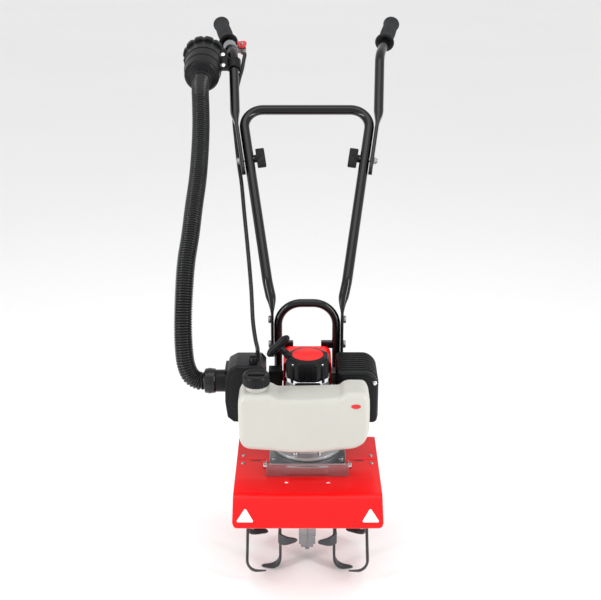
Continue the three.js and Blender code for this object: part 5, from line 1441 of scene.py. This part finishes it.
class TILLER_OT_tank(Operator):
    """Build the fuel tank and its cap"""

    bl_idname = "tiller.tank"
    bl_label = "Fuel tank"

    def execute(self, context):
        make_tank(finishes())
        make_fuel_cap(context.scene.tiller_sizes, finishes())
        return {"FINISHED"}


class TILLER_OT_tines(Operator):
    """Build the four tine stars and their pins"""

    bl_idname = "tiller.tines"
    bl_label = "Tines"

    def execute(self, context):
        make_tines(finishes())
        return {"FINISHED"}


class TILLER_OT_edges(Operator):
    """Round the edges of the plainer parts"""

    bl_idname = "tiller.edges"
    bl_label = "Eased parts"

    def execute(self, context):
        for node, width, finish in EASED:
            eased_copy(node, width, finishes()[finish])
        return {"FINISHED"}


class TILLER_OT_finishes(Operator):
    """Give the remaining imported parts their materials"""

    bl_idname = "tiller.finishes"
    bl_label = "Finishes"

    def execute(self, context):
        for node, part in frame["nodes"].items():
            for slot in part.material_slots:
                slot.link = "OBJECT"
                slot.material = finishes()[SLOT_OF[node]]
        return {"FINISHED"}


def area_light(name, spot, target, size, power):
    """A rectangular light at a spot, turned to a target."""
    light = bpy.data.lights.new(name, "AREA")
    light.shape, light.size, light.size_y, light.energy = "RECTANGLE", size[0], size[1], power
    lamp = bpy.data.objects.new(name, light)
    lamp.location = place(spot)
    way = place(target) - place(spot)
    lamp.rotation_euler = Vector(way).to_track_quat("-Z", "Y").to_euler()
    bpy.context.scene.collection.objects.link(lamp)


def floor_object():
    """A wide plain floor at the machine's lowest point."""
    low = CAD_BOX[0].z
    corners = [(-20.0, -20.0, low), (20.0, -20.0, low), (20.0, 20.0, low), (-20.0, 20.0, low)]
    mesh = bpy.data.meshes.new("floor")
    mesh.from_pydata(corners, [], [(0, 1, 2, 3)])
    mesh.materials.append(floor_finish("floor"))
    floor = bpy.data.objects.new("floor", mesh)
    bpy.context.scene.collection.objects.link(floor)
    return floor


def set_stage(s):
    """A camera level across the view and pitched down, tall lights at both sides and one overhead."""
    scene = bpy.context.scene
    lens = bpy.data.cameras.new("camera")
    lens.lens, lens.clip_end = s.lens, 50.0
    camera = bpy.data.objects.new("camera", lens)
    camera.location = place((-13, -1863, 1239.5))
    camera.rotation_euler = (s.pitch, 0, 0)
    scene.collection.objects.link(camera)
    scene.camera = camera
    middle = (0, 100, 480)
    area_light("side_left", (1500, -900, 900), middle, (0.22, 1.9), s.side_power)
    area_light("side_right", (-1500, -900, 900), middle, (0.22, 1.9), s.side_power)
    area_light("overhead", (0, -200, 2200), middle, (1.6, 1.0), s.top_power)
    world = bpy.data.worlds.new("surroundings")
    world.use_nodes = True
    world.node_tree.nodes["Background"].inputs["Color"].default_value = (1, 1, 1, 1)
    world.node_tree.nodes["Background"].inputs["Strength"].default_value = s.world_level
    scene.world = world
    scene.view_settings.view_transform = "Standard"
    floor_object()


STEPS = (
    TILLER_OT_stage, TILLER_OT_cords, TILLER_OT_tubes, TILLER_OT_controls, TILLER_OT_filter, TILLER_OT_fender,
    TILLER_OT_engine, TILLER_OT_tank, TILLER_OT_tines, TILLER_OT_edges, TILLER_OT_finishes,
)


class TILLER_PT_panel(Panel):
    bl_label = "Mini Tiller"
    bl_idname = "TILLER_PT_panel"
    bl_space_type = "VIEW_3D"
    bl_region_type = "UI"
    bl_category = "Tiller"

    def draw(self, context):
        for step in STEPS:
            self.layout.operator(step.bl_idname)
        for group in (context.scene.tiller_sizes, context.scene.tiller_colours, context.scene.tiller_stage):
            for name in group.__annotations__:
                self.layout.prop(group, name)


CLASSES = (TILLER_sizes, TILLER_colours, TILLER_stage, *STEPS, TILLER_PT_panel)


def register():
    for cls in CLASSES:
        bpy.utils.register_class(cls)
    bpy.types.Scene.tiller_sizes = PointerProperty(type=TILLER_sizes)
    bpy.types.Scene.tiller_colours = PointerProperty(type=TILLER_colours)
    bpy.types.Scene.tiller_stage = PointerProperty(type=TILLER_stage)


def unregister():
    for name in ("tiller_sizes", "tiller_colours", "tiller_stage"):
        delattr(bpy.types.Scene, name)
    for cls in reversed(CLASSES):
        bpy.utils.unregister_class(cls)


def main():
    register()
    for step in STEPS:
        group, name = step.bl_idname.split(".")
        getattr(getattr(bpy.ops, group), name)()


if __name__ == "__main__":
    main()
